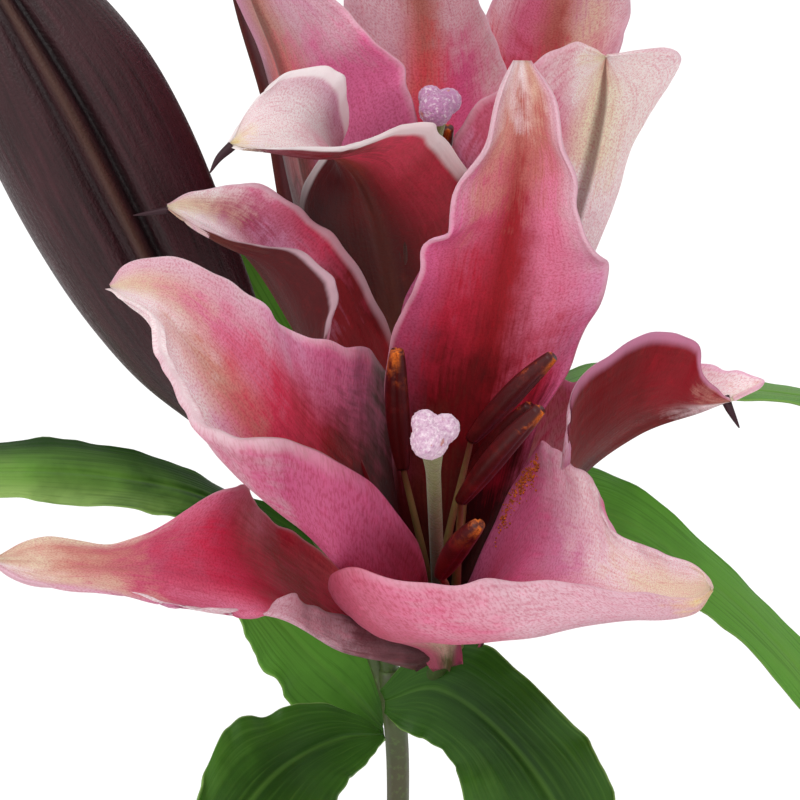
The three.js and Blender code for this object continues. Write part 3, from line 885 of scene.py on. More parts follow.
@dataclass(frozen=True)
class BudFinish:
    """The dark maroon bud: mauve streaks on its backs, olive brown ridges, painted shade in its
    furrows.
    """

    girth: float = 16.0

    def material(self, name: str) -> bpy.types.Material:
        """Builds the finish.

        Args:
            name: The material's name.

        Returns:
            The material.
        """
        paint = Palette(name, 0.45)
        along, ridge, furrow = map(paint.value, ("along", "ridge", "furrow"))
        turn = paint.times(paint.value("around"), 6.2832)
        round_x, round_y = (
            paint.times(paint.maths(wave, turn), self.girth) for wave in ("COSINE", "SINE")
        )
        streaks, grain = (
            paint.noise(paint.vector(round_x, round_y, paint.times(along, length)), *texture)
            for length, texture in ((9.0, (0.9, 4.0, 0.6)), (130.0, (1.6, 3.0, 0.6)))
        )
        colour = paint.wash(streaks, ((0.35, Hue.BUD_DARK), (0.75, Hue.BUD_MAUVE)))
        colour = paint.mix(paint.ease(along, 0.16, 0.0, 0.0, 0.5), colour, Hue.OLIVE)
        colour = paint.mix(paint.times(ridge, 0.75), colour, Hue.BUD_BROWN)
        # Painted shade: the furrows beside the ridges are painted near-black.
        colour = paint.mix(furrow, colour, Hue.BUD_FURROW_SHADE)
        paint.feed("Base Color", colour)
        paint.feed("Roughness", paint.ease(grain, 0.3, 0.7, 0.55, 0.38))
        paint.bump(paint.plus(streaks, paint.times(grain, 0.6)), 0.5, 0.8)
        paint.set("Specular IOR Level", 0.32)
        return paint.material


@dataclass(frozen=True)
class StalkFinish:
    """A round green part with fine streaks and a patchy mauve flush."""

    base: Hue
    flush: Hue
    flush_strength: float
    roughness: float = 0.5

    def material(self, name: str) -> bpy.types.Material:
        """Builds the finish.

        Args:
            name: The material's name.

        Returns:
            The material.
        """
        paint = Palette(name, self.roughness)
        place = paint.place()
        fine = paint.noise(place, 900.0, 3.0, 0.6)
        broad = paint.noise(place, 70.0, 3.0, 0.5)
        flushed = paint.times(paint.ease(broad, 0.35, 0.7), self.flush_strength)
        colour = paint.mix(flushed, self.base, self.flush)
        colour = paint.mix(paint.ease(fine, 0.5, 0.75, 0.0, 0.2), colour, Hue.LEAF_LIGHT)
        colour = paint.mix(paint.value("dark"), colour, Hue.WINE)
        paint.feed("Base Color", colour)
        paint.bump(fine, 0.15, 0.5)
        return paint.material


@dataclass(frozen=True)
class PistilFinish:
    """A green style flushed dark at its foot, under a pale, downy, pollen-dusted stigma."""

    crown: Hue = Hue.STIGMA

    def material(self, name: str) -> bpy.types.Material:
        """Builds the finish.

        Args:
            name: The material's name.

        Returns:
            The material.
        """
        paint = Palette(name, 0.6)
        place = paint.place()
        down = paint.noise(place, 1500.0, 3.0, 0.7)
        cloud = paint.noise(place, 320.0, 3.0, 0.6)
        along, crown = map(paint.value, ("along", "crown"))
        shaft = paint.wash(along, ((0.5, Hue.OLIVE), (0.75, Hue.STYLE)))
        shaft = paint.mix(paint.ease(cloud, 0.5, 0.7, 0.0, 0.3), shaft, Hue.PLUM)
        top = paint.mix(paint.ease(down, 0.45, 0.7, 0.0, 0.7), self.crown, Hue.STIGMA_DUSK)
        top = paint.mix(paint.ease(down, 0.48, 0.34, 0.0, 0.45), top, Hue.SNOW)
        top = paint.mix(paint.ease(cloud, 0.64, 0.68, 0.0, 0.7), top, Hue.RUST)
        paint.feed("Base Color", paint.mix(crown, shaft, top))
        paint.bump(down, 0.5, 0.8)
        paint.set("Sheen Weight", 0.3)
        return paint.material


@dataclass(frozen=True)
class AntherFinish:
    """A dark pod whose split shows orange pollen."""

    dust: float = 0.2

    def material(self, name: str) -> bpy.types.Material:
        """Builds the finish.

        Args:
            name: The material's name.

        Returns:
            The material.
        """
        paint = Palette(name, 0.45)
        place = paint.place()
        grain = paint.noise(place, 1800.0, 3.0, 0.7)
        cloud = paint.noise(place, 260.0, 4.0, 0.7)
        split = paint.value("split")
        skin = paint.mix(paint.ease(cloud, 0.45, 0.75), Hue.POD, Hue.POD_LIGHT)
        scatter = paint.ease(cloud, 0.62 - self.dust * 0.25, 0.7)
        loose = paint.times(paint.value("tip"), scatter)
        dusty = paint.plus(split, loose, clamp=True)
        pollen = paint.mix(paint.ease(grain, 0.35, 0.65), Hue.RUST, Hue.ORANGE)
        paint.feed("Base Color", paint.mix(dusty, skin, pollen))
        paint.feed("Roughness", paint.ease(dusty, 0.0, 1.0, 0.4, 0.9))
        paint.bump(paint.times(grain, paint.plus(dusty, 0.25)), 0.35, 0.9)
        paint.set("Specular IOR Level", 0.3)
        return paint.material


@dataclass(frozen=True)
class PollenFinish:
    """Loose orange grains."""

    def material(self, name: str) -> bpy.types.Material:
        """Builds the finish.

        Args:
            name: The material's name.

        Returns:
            The material.
        """
        paint = Palette(name, 0.9)
        level = paint.noise(paint.place(), 900.0, 2.0)
        paint.feed("Base Color", paint.mix(paint.ease(level, 0.35, 0.65), Hue.RUST, Hue.ORANGE))
        paint.bump(level, 0.1, 0.5)
        return paint.material


# ---------------------------------------------------------------------------------------- pieces


def keep(made: bpy.types.Object) -> None:
    """Puts a finished piece on the model and says so in the log.

    Args:
        made: The piece.
    """
    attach(made, "root")
    LOG.info("%s: %d faces", made.name, len(made.data.polygons))


def grow(
    shape: Shape,
    node: str,
    material: bpy.types.Material,
    frame_matrix: Optional[Matrix] = HEAD,
) -> None:
    """Makes the finished piece that stands for one solid.

    Args:
        shape: The piece's shape.
        node: The solid.
        material: Its finish.
        frame_matrix: The frame that the shape is in, or None for the model's own.
    """
    made = shape.to_object(node + "_grown", frame_matrix, material)
    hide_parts(node)
    keep(made)


@dataclass(frozen=True)
class Axis:
    """Where a flower stands and where it looks."""

    foot: Point
    direction: Point
    pistil_length: float

    def ahead(self) -> np.ndarray:
        """Gives the unit vector from the foot out of the flower."""
        return unit(np.array(self.direction))

    def at(self, distance: float) -> np.ndarray:
        """Gives the point of the axis at a distance from the foot."""
        return np.array(self.foot) + self.ahead() * distance

    def square(self) -> tuple[np.ndarray, np.ndarray]:
        """Finds the two directions square to the axis.

        Returns:
            Up and right, as the flower is looked into.
        """
        ahead = self.ahead()
        up = unit(np.array((0, 0, 1.0)) - ahead * ahead[2])
        return up, np.cross(up, ahead)

    def around(self, clock: float) -> np.ndarray:
        """Finds a direction away from the axis.

        Args:
            clock: Its angle in degrees, 0 up and 90 to the right.

        Returns:
            The unit vector.
        """
        up, right = self.square()
        angle = math.radians(clock)
        return up * math.cos(angle) + right * math.sin(angle)


@dataclass(frozen=True)
class Horn:
    """The dark, hard point that a tepal's keel runs out into."""

    path: tuple[Point, ...]
    radius: float = 0.9

    def shape(self) -> Shape:
        """Builds the point.

        Returns:
            The shape, with the value horn at 1.
        """
        made = limb(self.path, lambda u: self.radius * (1 - 0.85 * u**1.6), rows=16, sides=10)
        made.values = {key: np.ones(len(made.points)) for key in ("horn", "along")}
        return made


@dataclass(frozen=True)
class Tepal:
    """One petal or sepal: its place round the axis, its rails beyond the foot, and its finish.

    The rails bend as they like but share one tip, the keel's last point, where a blunt tepal
    keeps a little width.
    """

    name: str
    clock: float
    rank: Rank
    left: tuple[Point, ...]
    keel: tuple[Point, ...]
    right: tuple[Point, ...]
    finish: TepalFinish
    belly: tuple[float, float] = (0.0, 0.0)
    wave: float = 0.8
    scallop: float = 0.5
    lips: tuple[float, float] = (0.5, 0.5)
    seed: int = 1
    horn: Optional[Horn] = None
    claw_half: float = 3.0
    blunt: float = 0.0

    def blade(self, axis: Axis) -> Blade:
        """Adds the foot on the ring round the axis, and the shared tip.

        Args:
            axis: The flower's axis.

        Returns:
            The blade.
        """
        middle = np.array(axis.foot) + axis.around(self.clock) * self.rank.value
        sideways = axis.around(self.clock + 90) * self.claw_half
        tip = np.array(self.keel[-1])
        spread = unit(np.array(self.right[-1]) - np.array(self.left[-1])) * self.blunt
        return Blade(
            left=(tuple(middle - sideways), *self.left, tuple(tip - spread)),
            keel=(tuple(middle), *self.keel),
            right=(tuple(middle + sideways), *self.right, tuple(tip + spread)),
            belly=self.belly, wave=self.wave, scallop=self.scallop, lips=self.lips, seed=self.seed,
        )

    def build(self, axis: Axis) -> np.ndarray:
        """Builds the piece.

        Args:
            axis: The flower's axis.

        Returns:
            The points of its inner face, in rows from foot to tip.
        """
        blade = self.blade(axis)
        shape = blade.shape()
        face = shape.points[: blade.rows * blade.columns].reshape(blade.rows, blade.columns, 3)
        shape.values["horn"] = np.zeros(len(shape.points))
        if self.horn:
            shape = shape.joined(self.horn.shape())
        length, half_width = blade.sizes()
        material = self.finish.material(self.name + "_skin", length, half_width)
        grow(shape, self.name, material)
        return face


@dataclass(frozen=True)
class Stamen:
    """A filament and the anther on it: where it stands and the anther's two ends."""

    clock: float
    outer: Point
    inner: Point
    dust: float = 0.2
    open_from: float = 0.88
    radius: float = 2.0
    ring: float = 3.5
    overlap: float = 1.5

    def anther(self) -> Shape:
        """Builds the pod in two halves, split from open_from to its outer end.

        Returns:
            The shape, with the value split.
        """
        inner, outer = np.array(self.inner), np.array(self.outer)
        side = unit(np.cross(outer - inner, (0.3, 0.2, 1.0)))
        third = inner * 0.66 + outer * 0.34 + side * 0.4
        two_thirds = inner * 0.33 + outer * 0.67 + side * 0.5

        def radius(u: np.ndarray) -> np.ndarray:
            """Gives the pod's radius along it."""
            return self.radius * (0.3 + 0.7 * np.sin(math.pi * (0.05 + 0.9 * u)) ** 0.55)

        def section(u: np.ndarray, angle: np.ndarray) -> np.ndarray:
            """Shapes the two fat halves, with a groove on each side between them.

            Args:
                u: Places along, from 0 to 1.
                angle: Angles round.

            Returns:
                What the radius is multiplied by.
            """
            gape = smooth_step(self.open_from, self.open_from + 0.12, u)
            groove = np.exp(-((np.cos(angle) / 0.22) ** 2))
            return 0.86 + 0.2 * np.abs(np.cos(angle)) ** 0.8 - (0.12 + 0.2 * gape) * groove

        made = limb([inner, third, two_thirds, outer], radius, section, rows=44, sides=36)
        along, turn = made.values["along"], made.values["around"] * 2 * math.pi
        gape = smooth_step(self.open_from - 0.05, self.open_from + 0.1, along)
        made.values["split"] = gape * smooth_step(0.75, 0.2, np.abs(np.cos(turn)))
        made.values["tip"] = smooth_step(self.open_from - 0.25, self.open_from + 0.1, along)
        return made

    def filament(self, axis: Axis) -> Shape:
        """Builds the stalk from the ring round the ovary to the anther.

        Args:
            axis: The flower's axis.

        Returns:
            The shape.
        """
        start = np.array(axis.foot) + axis.around(self.clock) * self.ring + axis.ahead() * 0.5
        inner = np.array(self.inner)
        middle = start + axis.ahead() * 0.5 * np.linalg.norm(inner - start)
        ahead = unit(inner - middle)
        path = [start, middle, inner + ahead * self.overlap]
        made = limb(path, lambda u: 1.05 - 0.55 * u, rows=40, sides=14)
        made.values["dark"] = 0.75 * smooth_step(0.75, 1.0, made.values["along"])
        return made


@dataclass(frozen=True)
class Pistil:
    """The ovary, the style and the three-lobed stigma at its end."""

    ovary: float = 22.0
    ovary_radius: float = 2.1
    style_radius: float = 1.25
    # Each lobe of the stigma by its angle, its distance from the axis and its radius.
    lobes: tuple[Point, ...] = ((125, 2.1, 2.2), (20, 2.2, 2.4), (255, 1.5, 3.1))
    melt: float = 3.5
    fuzz: float = 0.09

    def shaft(self, axis: Axis) -> Shape:
        """Builds the ovary and style in one limb.

        Args:
            axis: The flower's axis.

        Returns:
            The shape.
        """
        length = axis.pistil_length
        ovary_end = self.ovary / length
        path = [axis.at(far) for far in (0, length * 0.33, length * 0.66, length - 3)]

        def radius(u: np.ndarray) -> np.ndarray:
            """Shapes the ovary, the slim style, and a flare under the stigma.

            Args:
                u: Places along, from 0 to 1.

            Returns:
                The radius at each.
            """
            slim = smooth_step(ovary_end * 0.7, ovary_end * 1.25, u)
            flare = 0.9 * smooth_step(0.82, 1.0, u)
            return self.ovary_radius + (self.style_radius - self.ovary_radius) * slim + flare

        def section(u: np.ndarray, angle: np.ndarray) -> np.ndarray:
            """Gives the three rounded edges."""
            return 1 + 0.07 * np.cos(3 * angle)

        return limb(path, radius, section, rows=70, sides=30)

    def crown(self, axis: Axis) -> Shape:
        """Builds the stigma: three balls that melt into each other, with a downy skin.

        Args:
            axis: The flower's axis.

        Returns:
            The shape, with the value crown at 1.
        """
        up, right = axis.square()
        rows, sides = 70, 110
        tilt = np.linspace(0, math.pi, rows)[:, None]
        turn = (np.arange(sides) / sides * 2 * math.pi)[None, :]
        ahead = axis.ahead()
        look = (
            np.cos(tilt)[..., None] * -ahead
            + (np.sin(tilt) * np.cos(turn))[..., None] * right
            + (np.sin(tilt) * np.sin(turn))[..., None] * up
        )
        reaches = []
        for degrees, offset, lobe_radius in self.lobes:
            angle = math.radians(degrees)
            centre = offset * (right * math.cos(angle) + up * math.sin(angle))
            ahead_of = look @ centre
            past = np.maximum(ahead_of**2 - centre @ centre + lobe_radius**2, 0)
            reaches.append(ahead_of + np.sqrt(past))
        reach = np.log(sum(np.exp(self.melt * part) for part in reaches)) / self.melt
        draw = np.random.default_rng(5)
        fuzz = np.zeros_like(reach)
        for count in (17, 23, 31, 41):
            shift = draw.uniform(0, 6.28, 4)
            ways = zip((right, up, ahead), shift)
            fuzz += math.prod(np.sin(count * (look @ way) + start) for way, start in ways)
        reach = reach + self.fuzz * fuzz
        points = axis.at(axis.pistil_length - 2.5) + look * reach[..., None]
        every = np.vstack([points[1:-1].reshape(-1, 3), points[0, :1], points[-1, :1]])
        values = {"crown": np.ones(len(every)), "along": np.ones(len(every))}
        return Shape(every, ring_faces(rows - 2, sides, turned=True), values)


@dataclass(frozen=True)
class Flower:
    """A half-open lily flower: six tepals round six stamens and a pistil."""

    name: str
    axis: Axis
    tepals: tuple[Tepal, ...]
    stamens: tuple[Stamen, ...]
    crown: Hue = Hue.STIGMA
    pistil: Pistil = Pistil()

    def build(self) -> dict[str, np.ndarray]:
        """Builds every piece of the flower.

        Returns:
            The inner face of each tepal, by name.
        """
        pistil = self.name + "_pistil"
        shape = self.pistil.shaft(self.axis).joined(self.pistil.crown(self.axis))
        finish = PistilFinish(self.crown).material(pistil + "_skin")
        grow(shape, pistil, finish)
        stalk = StalkFinish(Hue.FILAMENT, Hue.PLUM, 0.35).material(self.name + "_filament_skin")
        for number, stamen in enumerate(self.stamens, 1):
            anther, filament = (f"{self.name}_{part}_{number}" for part in ("anther", "filament"))
            pod = AntherFinish(stamen.dust).material(anther + "_skin")
            grow(stamen.anther(), anther, pod)
            grow(stamen.filament(self.axis), filament, stalk)
        return {tepal.name: tepal.build(self.axis) for tepal in self.tepals}


@dataclass(frozen=True)
class Pollen:
    """Loose pollen that has fallen in a streak on a tepal's inner face.

    Places on the face are its rows (0 at the foot, 1 at the tip) and its columns (0 left, 1 right).
    """

    streak: tuple[Point, ...] = ((0.315, 0.1, 0), (0.285, 0.09, 0), (0.26, 0.085, 0), (0.225, 0.12, 0))
    count: int = 260
    spread: float = 0.022
    smallest: float = 0.14
    largest: float = 0.3
    seed: int = 8

    def build(self, face: np.ndarray) -> None:
        """Scatters the grains.

        Args:
            face: The points of the tepal's inner face, in rows.
        """
        draw = np.random.default_rng(self.seed)
        middle = through(self.streak, draw.uniform(0, 1, self.count))[:, :2]
        stray = draw.normal(0, self.spread, (self.count, 2)) * (0.5, 1.0)
        places = np.clip(middle + stray, 0.01, 0.98)
        normal = unit(np.cross(np.gradient(face, axis=1), np.gradient(face, axis=0)))
        corners = np.stack([np.eye(3), -np.eye(3)], axis=1).reshape(-1, 3)
        upper = [(0, 2, 4), (2, 1, 4), (1, 3, 4), (3, 0, 4)]
        sides = upper + [(there, here, 5) for here, there, _ in upper]
        points, faces = [], []
        for number, (row, column) in enumerate(places):
            at_row, at_column = row * (len(face) - 1), column * (face.shape[1] - 1)
            low, left = int(at_row), int(at_column)
            step = face[low + 1, left] - face[low, left], face[low, left + 1] - face[low, left]
            spot = face[low, left] + step[0] * (at_row - low) + step[1] * (at_column - left)
            size = draw.uniform(self.smallest, self.largest)
            lump = corners * size * draw.uniform(0.7, 1.2, (6, 1))
            points.append(spot + normal[low, left] * size * 0.5 + lump)
            faces += [tuple(6 * number + i for i in side) for side in sides]
        dust = PollenFinish().material("pollen_dust")
        keep(Shape(np.vstack(points), faces).to_object("pollen_streak", HEAD, dust))


@dataclass(frozen=True)
class Bud:
    """The closed bud: three broad sepals with three narrow petal ridges between them."""

    path: tuple[Point, ...] = ((-25, 42, -13), (-46.5, 30, 23), (-64.5, 18, 59), (-87, 6, 96.5))
    radii: tuple[float, ...] = (3.2, 8.5, 13.5, 16.2, 17.8, 18.4, 17.6, 14.5, 9, 1.2)
    turn: float = 0.62

    def build(self) -> None:
        """Builds the bud."""

        def radius(u: np.ndarray) -> np.ndarray:
            """Gives the radius along the bud."""
            return levels(self.radii, u)

        def section(u: np.ndarray, angle: np.ndarray) -> np.ndarray:
            """Gives the broad backs, the ridges between them and the furrows beside those."""
            back, ridge, furrow = self.relief(u, angle)
            return 1.0 + back + 0.05 * ridge - 0.13 * furrow

        made = limb(self.path, radius, section, rows=150, sides=190)
        angle = made.values["around"] * 2 * math.pi
        # The furrow value carves the furrows and also sets their painted shade.
        _, made.values["ridge"], made.values["furrow"] = self.relief(made.values["along"], angle)
        grow(made, "bud", BudFinish().material("bud_skin"))

    def relief(self, u: np.ndarray, angle: np.ndarray) -> tuple[np.ndarray, np.ndarray, np.ndarray]:
        """Finds the three kinds of relief round the bud.

        Args:
            u: Places along, from 0 to 1.
            angle: Angles round.

        Returns:
            The swell of the backs, and how much of a ridge or furrow each place is.
        """
        third = np.mod((angle - self.turn) * 3 / (2 * math.pi), 1) - 0.5
        fade = smooth_step(0.0, 0.12, u) * smooth_step(1.0, 0.9, u)
        back = 0.05 * np.cos(third * 2 * math.pi)
        edge = 0.5 - np.abs(third)
        ridge = np.exp(-((edge / 0.03) ** 2)) * fade
        # Each furrow is deeper, with more painted shade, on one side of its ridge than on the other.
        right_side = np.where(third < 0, 1.0, 0.6)
        furrow = right_side * np.exp(-(((edge - 0.08) / 0.038) ** 2)) * fade
        return back, ridge, furrow


@dataclass(frozen=True)
class Stem:
    """The stem, its two flower stalks and the bud's stalk, as one growth."""

    path: tuple[Point, ...] = (
        (0, 0, 0), (0, 0, 60), (2, 3, 160), (-1.5, 1, 270),
        (2.5, 0, FORK_HEIGHT - 28), (1, 0, FORK_HEIGHT + 6),
    )
    front_bends: tuple[Point, ...] = ((-1.5, 50, -61), (1, 49.5, -61.5), (5.5, 43, -57.5))
    back_bends: tuple[Point, ...] = ((-1.5, 51, -62), (-2.5, 48, -47), (-2, 60, -24))
    bud_bends: tuple[Point, ...] = (
        (-1.5, 51, -63), (-6, 50, -50), (-15, 47, -30), (-24.3, 42.4, -14.2),
    )
    cut_radius: float = 4.5
    top_radius: float = 2.2
    stalk_radius: float = 1.8
    receptacle_radius: float = 3.6

    def swell(self, u: np.ndarray) -> np.ndarray:
        """Gives a stalk's radius along it, wider towards the flower's foot."""
        extra = self.receptacle_radius - self.stalk_radius
        return self.stalk_radius + extra * np.clip((u - 0.75) / 0.25, 0, 1) ** 1.5

    def build(self, front: Axis, back: Axis) -> None:
        """Builds the stem.

        Args:
            front: The front flower's axis.
            back: The back flower's axis.
        """

        def radius(u: np.ndarray) -> np.ndarray:
            """Gives the stem's radius along it, narrowing upwards with small, evenly spaced swells."""
            return self.cut_radius + (self.top_radius - self.cut_radius) * u + 0.12 * np.sin(u * 40)

        def section(u: np.ndarray, angle: np.ndarray) -> np.ndarray:
            """Gives the stem's faint lengthwise ridges."""
            return 1 + 0.012 * np.cos(9 * angle + 4 * u)

        whole = limb(self.path, radius, section, rows=160, sides=48)
        for stalk in (
            [*self.front_bends, front.at(-9), front.at(-1.2)],
            [*self.back_bends, back.at(-9), back.at(-1.2)],
            self.bud_bends,
        ):
            whole = whole.joined(limb(stalk, self.swell, rows=60, sides=24).moved(HEAD))
        finish = StalkFinish(Hue.STEM, Hue.PLUM, 0.35).material("stem_skin")
        grow(whole, "stem", finish, None)


@dataclass(frozen=True)
class Leaf:
    """One leaf by its rails, whose last keel point is the shared tip."""

    name: str
    left: tuple[Point, ...]
    keel: tuple[Point, ...]
    right: tuple[Point, ...]
    finish: LeafFinish
    wave: float = 1.0
    seed: int = 3

    def build(self, frame_matrix: Optional[Matrix]) -> None:
        """Builds the leaf.

        Args:
            frame_matrix: The frame of its rails, or None for the model's own.
        """
        tip = self.keel[-1]
        blade = Blade(
            left=(*self.left, tip), keel=self.keel, right=(*self.right, tip),
            wave=self.wave, scallop=0.25, lips=(0.1, 0.1), seed=self.seed,
            thick=0.5, keel_thick=0.7, rib=0.035, ribs=19, groove=0.3, rows=90, columns=61,
        )
        length, half_width = blade.sizes()
        material = self.finish.material(self.name + "_skin", length, half_width)
        grow(blade.shape(), self.name, material, frame_matrix)


@dataclass(frozen=True)
class LowerLeaves:
    """The leaves that spiral up the stem above its bare foot."""

    count: int = 7
    lowest: float = 128.0
    step: float = 28.0
    turn: float = 137.5
    first: float = 25.0
    length: float = 112.0
    half_width: float = 14.0
    rise: float = 52.0
    droop: float = -34.0
    fold: float = 0.25
    stem_gap: float = 5.1
    wave: float = 1.2
    first_seed: int = 20
    keys: int = 6

    def leaf(self, index: int) -> Leaf:
        """Works out one leaf's rails.

        Args:
            index: Which leaf, from 0 at the bottom.

        Returns:
            The leaf.
        """
        turn = math.radians(self.first + self.turn * index)
        outward = np.array((math.cos(turn), math.sin(turn), 0))
        rightward = np.array((math.sin(turn), -math.cos(turn), 0))
        point = outward * self.stem_gap + np.array((0, 0, self.lowest + self.step * index))
        rails: dict[str, list[Point]] = {"left": [], "keel": [], "right": []}
        stride = self.length / (self.keys - 1)
        for key in range(self.keys):
            u = key / (self.keys - 1)
            half = 2 + self.half_width * max(math.sin(math.pi * u**0.8), 0) ** 0.9
            lifted = point + np.array((0, 0, self.fold * half))
            rails["keel"].append(tuple(point))
            if key < self.keys - 1:
                rails["left"].append(tuple(lifted - rightward * half))
                rails["right"].append(tuple(lifted + rightward * half))
            pitch = math.radians(self.rise + (self.droop - self.rise) * u)
            climb = np.array((0, 0, stride * math.sin(pitch)))
            point = point + outward * stride * math.cos(pitch) + climb
        left, keel, right = (tuple(rails[side]) for side in ("left", "keel", "right"))
        name = f"leaf_lower_{index + 1}"
        return Leaf(name, left, keel, right, LEAF_GREEN, self.wave, index + self.first_seed)

    def build(self) -> None:
        """Builds every lower leaf."""
        for index in range(self.count):
            self.leaf(index).build(None)


# -------------------------------------------------------------------------------------- the lily

H = Hue  # a short name, for the many washes below

FRONT_PETAL_UPPER = TepalFinish(
    inner=(
        run(H.SHADED_THROAT, H.WINE, H.WINE, H.MAUVE, H.ORCHID, H.FUCHSIA, H.BLUSH, H.SNOW),
        run(H.SHADED_THROAT, H.THROAT, H.BARK, H.OXBLOOD, H.CRIMSON, H.ROSE, H.SHELL, H.SNOW),
        run(H.SHADED_THROAT, H.THROAT, H.THROAT, H.OXBLOOD, H.RED, H.RED, H.CLAY, H.SNOW),
        run(H.SHADED_THROAT, H.WINE, H.THROAT, H.CRIMSON, H.PINK, H.PINK, H.CLAY, H.PEACH),
        run(H.WINE, H.RED, H.OXBLOOD, H.FUCHSIA, H.LILAC, H.BLUSH, H.BLUSH, H.BLUSH),
    ),
    outer=(
        run(H.PLUM, H.MAUVE, H.ORCHID, H.ORCHID, H.LILAC, H.LILAC, H.BLUSH, H.SNOW),
        run(H.PLUM, H.MAUVE, H.MAUVE, H.ROSE, H.PINK, H.PINK, H.BLUSH, H.CREAM),
        run(H.PLUM, H.MAUVE, H.ORCHID, H.ORCHID, H.LILAC, H.LILAC, H.BLUSH, H.SNOW),
    ),
)
FRONT_PETAL_LEFT = TepalFinish(
    inner=(
        run(H.SHADED_THROAT, H.THROAT, H.OXBLOOD, H.GARNET, H.BLUSH, H.SNOW, H.SNOW, H.CREAM),
        run(H.SHADED_THROAT, H.THROAT, H.OXBLOOD, H.CRIMSON, H.LILAC, H.SNOW, H.SNOW, H.CREAM),
        run(H.SHADED_THROAT, H.THROAT, H.OXBLOOD, H.GARNET, H.CHERRY, H.SHELL, H.SNOW, H.SNOW),
        run(H.SHADED_THROAT, H.THROAT, H.WINE, H.RED, H.CHERRY, H.PINK, H.PEACH, H.CREAM),
        run(H.THROAT, H.WINE, H.WINE, H.FUCHSIA, H.LILAC, H.BLUSH, H.BLUSH, H.BLUSH),
    ),
    outer=(
        run(H.MAUVE, H.MAUVE, H.ORCHID, H.ORCHID, H.BLUSH, H.BLUSH, H.SNOW, H.SNOW),
        run(H.PLUM, H.MAUVE, H.MAUVE, H.MAUVE, H.ROSE, H.LILAC, H.BLUSH, H.CREAM),
        run(H.MAUVE, H.ORCHID, H.ORCHID, H.ORCHID, H.PINK, H.BLUSH, H.BLUSH, H.SNOW),
    ),
    rim=H.SNOW,
    rim_strength=0.4,
)
FRONT_PETAL_RIGHT = TepalFinish(
    inner=(
        run(H.GARNET, H.FUCHSIA, H.FUCHSIA, H.BLUSH, H.SNOW, H.SNOW, H.SNOW, H.CREAM),
        run(H.OXBLOOD, H.CHERRY, H.FUCHSIA, H.LILAC, H.SNOW, H.CREAM, H.CREAM, H.CREAM),
        run(H.SHADED_THROAT, H.CRIMSON, H.CHERRY, H.CHERRY, H.PINK, H.SNOW, H.CREAM, H.CREAM),
        run(H.SHADED_THROAT, H.OXBLOOD, H.CRIMSON, H.CHERRY, H.ROSE, H.BLUSH, H.PEACH, H.CREAM),
        run(H.WINE, H.GARNET, H.CHERRY, H.PINK, H.PINK, H.BLUSH, H.PEACH, H.CREAM),
    ),
    outer=(
        run(H.MAUVE, H.MAUVE, H.ROSE, H.ORCHID, H.ORCHID, H.LILAC, H.LILAC, H.CREAM),
        run(H.OLIVE, H.PEACH, H.LILAC, H.LILAC, H.LILAC, H.BLUSH, H.BLUSH, H.CREAM),
        run(H.ROSE, H.ROSE, H.ROSE, H.PINK, H.BLUSH, H.BLUSH, H.BLUSH, H.YELLOW),
    ),
)
FRONT_SEPAL_LEFT = TepalFinish(
    inner=(
        run(H.WINE, H.GARNET, H.ROSE, H.PINK, H.PINK, H.LILAC, H.BLUSH, H.BLUSH),
        run(H.SHADED_THROAT, H.WINE, H.CRIMSON, H.CHERRY, H.PINK, H.ROSE, H.PEACH, H.SNOW),
        run(H.SHADED_THROAT, H.THROAT, H.CRIMSON, H.CRIMSON, H.CHERRY, H.ROSE, H.SHELL, H.CREAM),
        run(H.SHADED_THROAT, H.WINE, H.CHERRY, H.RED, H.CHERRY, H.ROSE, H.SHELL, H.CREAM),
        run(H.ROSE, H.PINK, H.CORAL, H.CRIMSON, H.PINK, H.PINK, H.CREAM, H.PEACH),
    ),
    outer=(
        run(H.PLUM, H.PLUM, H.DUSK, H.BLUSH, H.BLUSH, H.SNOW, H.BLUSH, H.BLUSH),
        run(H.PLUM, H.PLUM, H.DUSK, H.DUSK, H.DUSK, H.LILAC, H.BLUSH, H.PEACH),
        run(H.ROSE, H.LILAC, H.LILAC, H.LILAC, H.PINK, H.BLUSH, H.BLUSH, H.BLUSH),
    ),
)
FRONT_SEPAL_RIGHT = TepalFinish(
    inner=(
        run(H.GARNET, H.ROSE, H.CLAY, H.FUCHSIA, H.BLUSH, H.SNOW, H.SNOW, H.CREAM),
        run(H.OXBLOOD, H.CRIMSON, H.BLUSH, H.CHERRY, H.PINK, H.SNOW, H.SNOW, H.CREAM),
        run(H.SHADED_THROAT, H.OXBLOOD, H.GARNET, H.CRIMSON, H.CHERRY, H.PINK, H.BLUSH, H.YELLOW),
        run(H.SHADED_THROAT, H.GARNET, H.CRIMSON, H.CHERRY, H.ROSE, H.PINK, H.BLUSH, H.SNOW),
        run(H.ROSE, H.ROSE, H.LILAC, H.SNOW, H.LILAC, H.BLUSH, H.SNOW, H.SNOW),
    ),
    # Outer face: the wine and oxblood are partly its own colour, partly painted shade of its
    # underside.
    outer=(
        run(H.WINE, H.MAUVE, H.MAUVE, H.GARNET, H.CHERRY, H.PINK, H.SNOW, H.CREAM),
        run(H.WINE, H.WINE, H.WINE, H.WINE, H.OXBLOOD, H.OXBLOOD, H.SNOW, H.SNOW),
        run(H.WINE, H.WINE, H.GARNET, H.OXBLOOD, H.OXBLOOD, H.GARNET, H.GARNET, H.SHELL),
    ),
    rim=H.LILAC,
    ridge_strength=0.2,
)
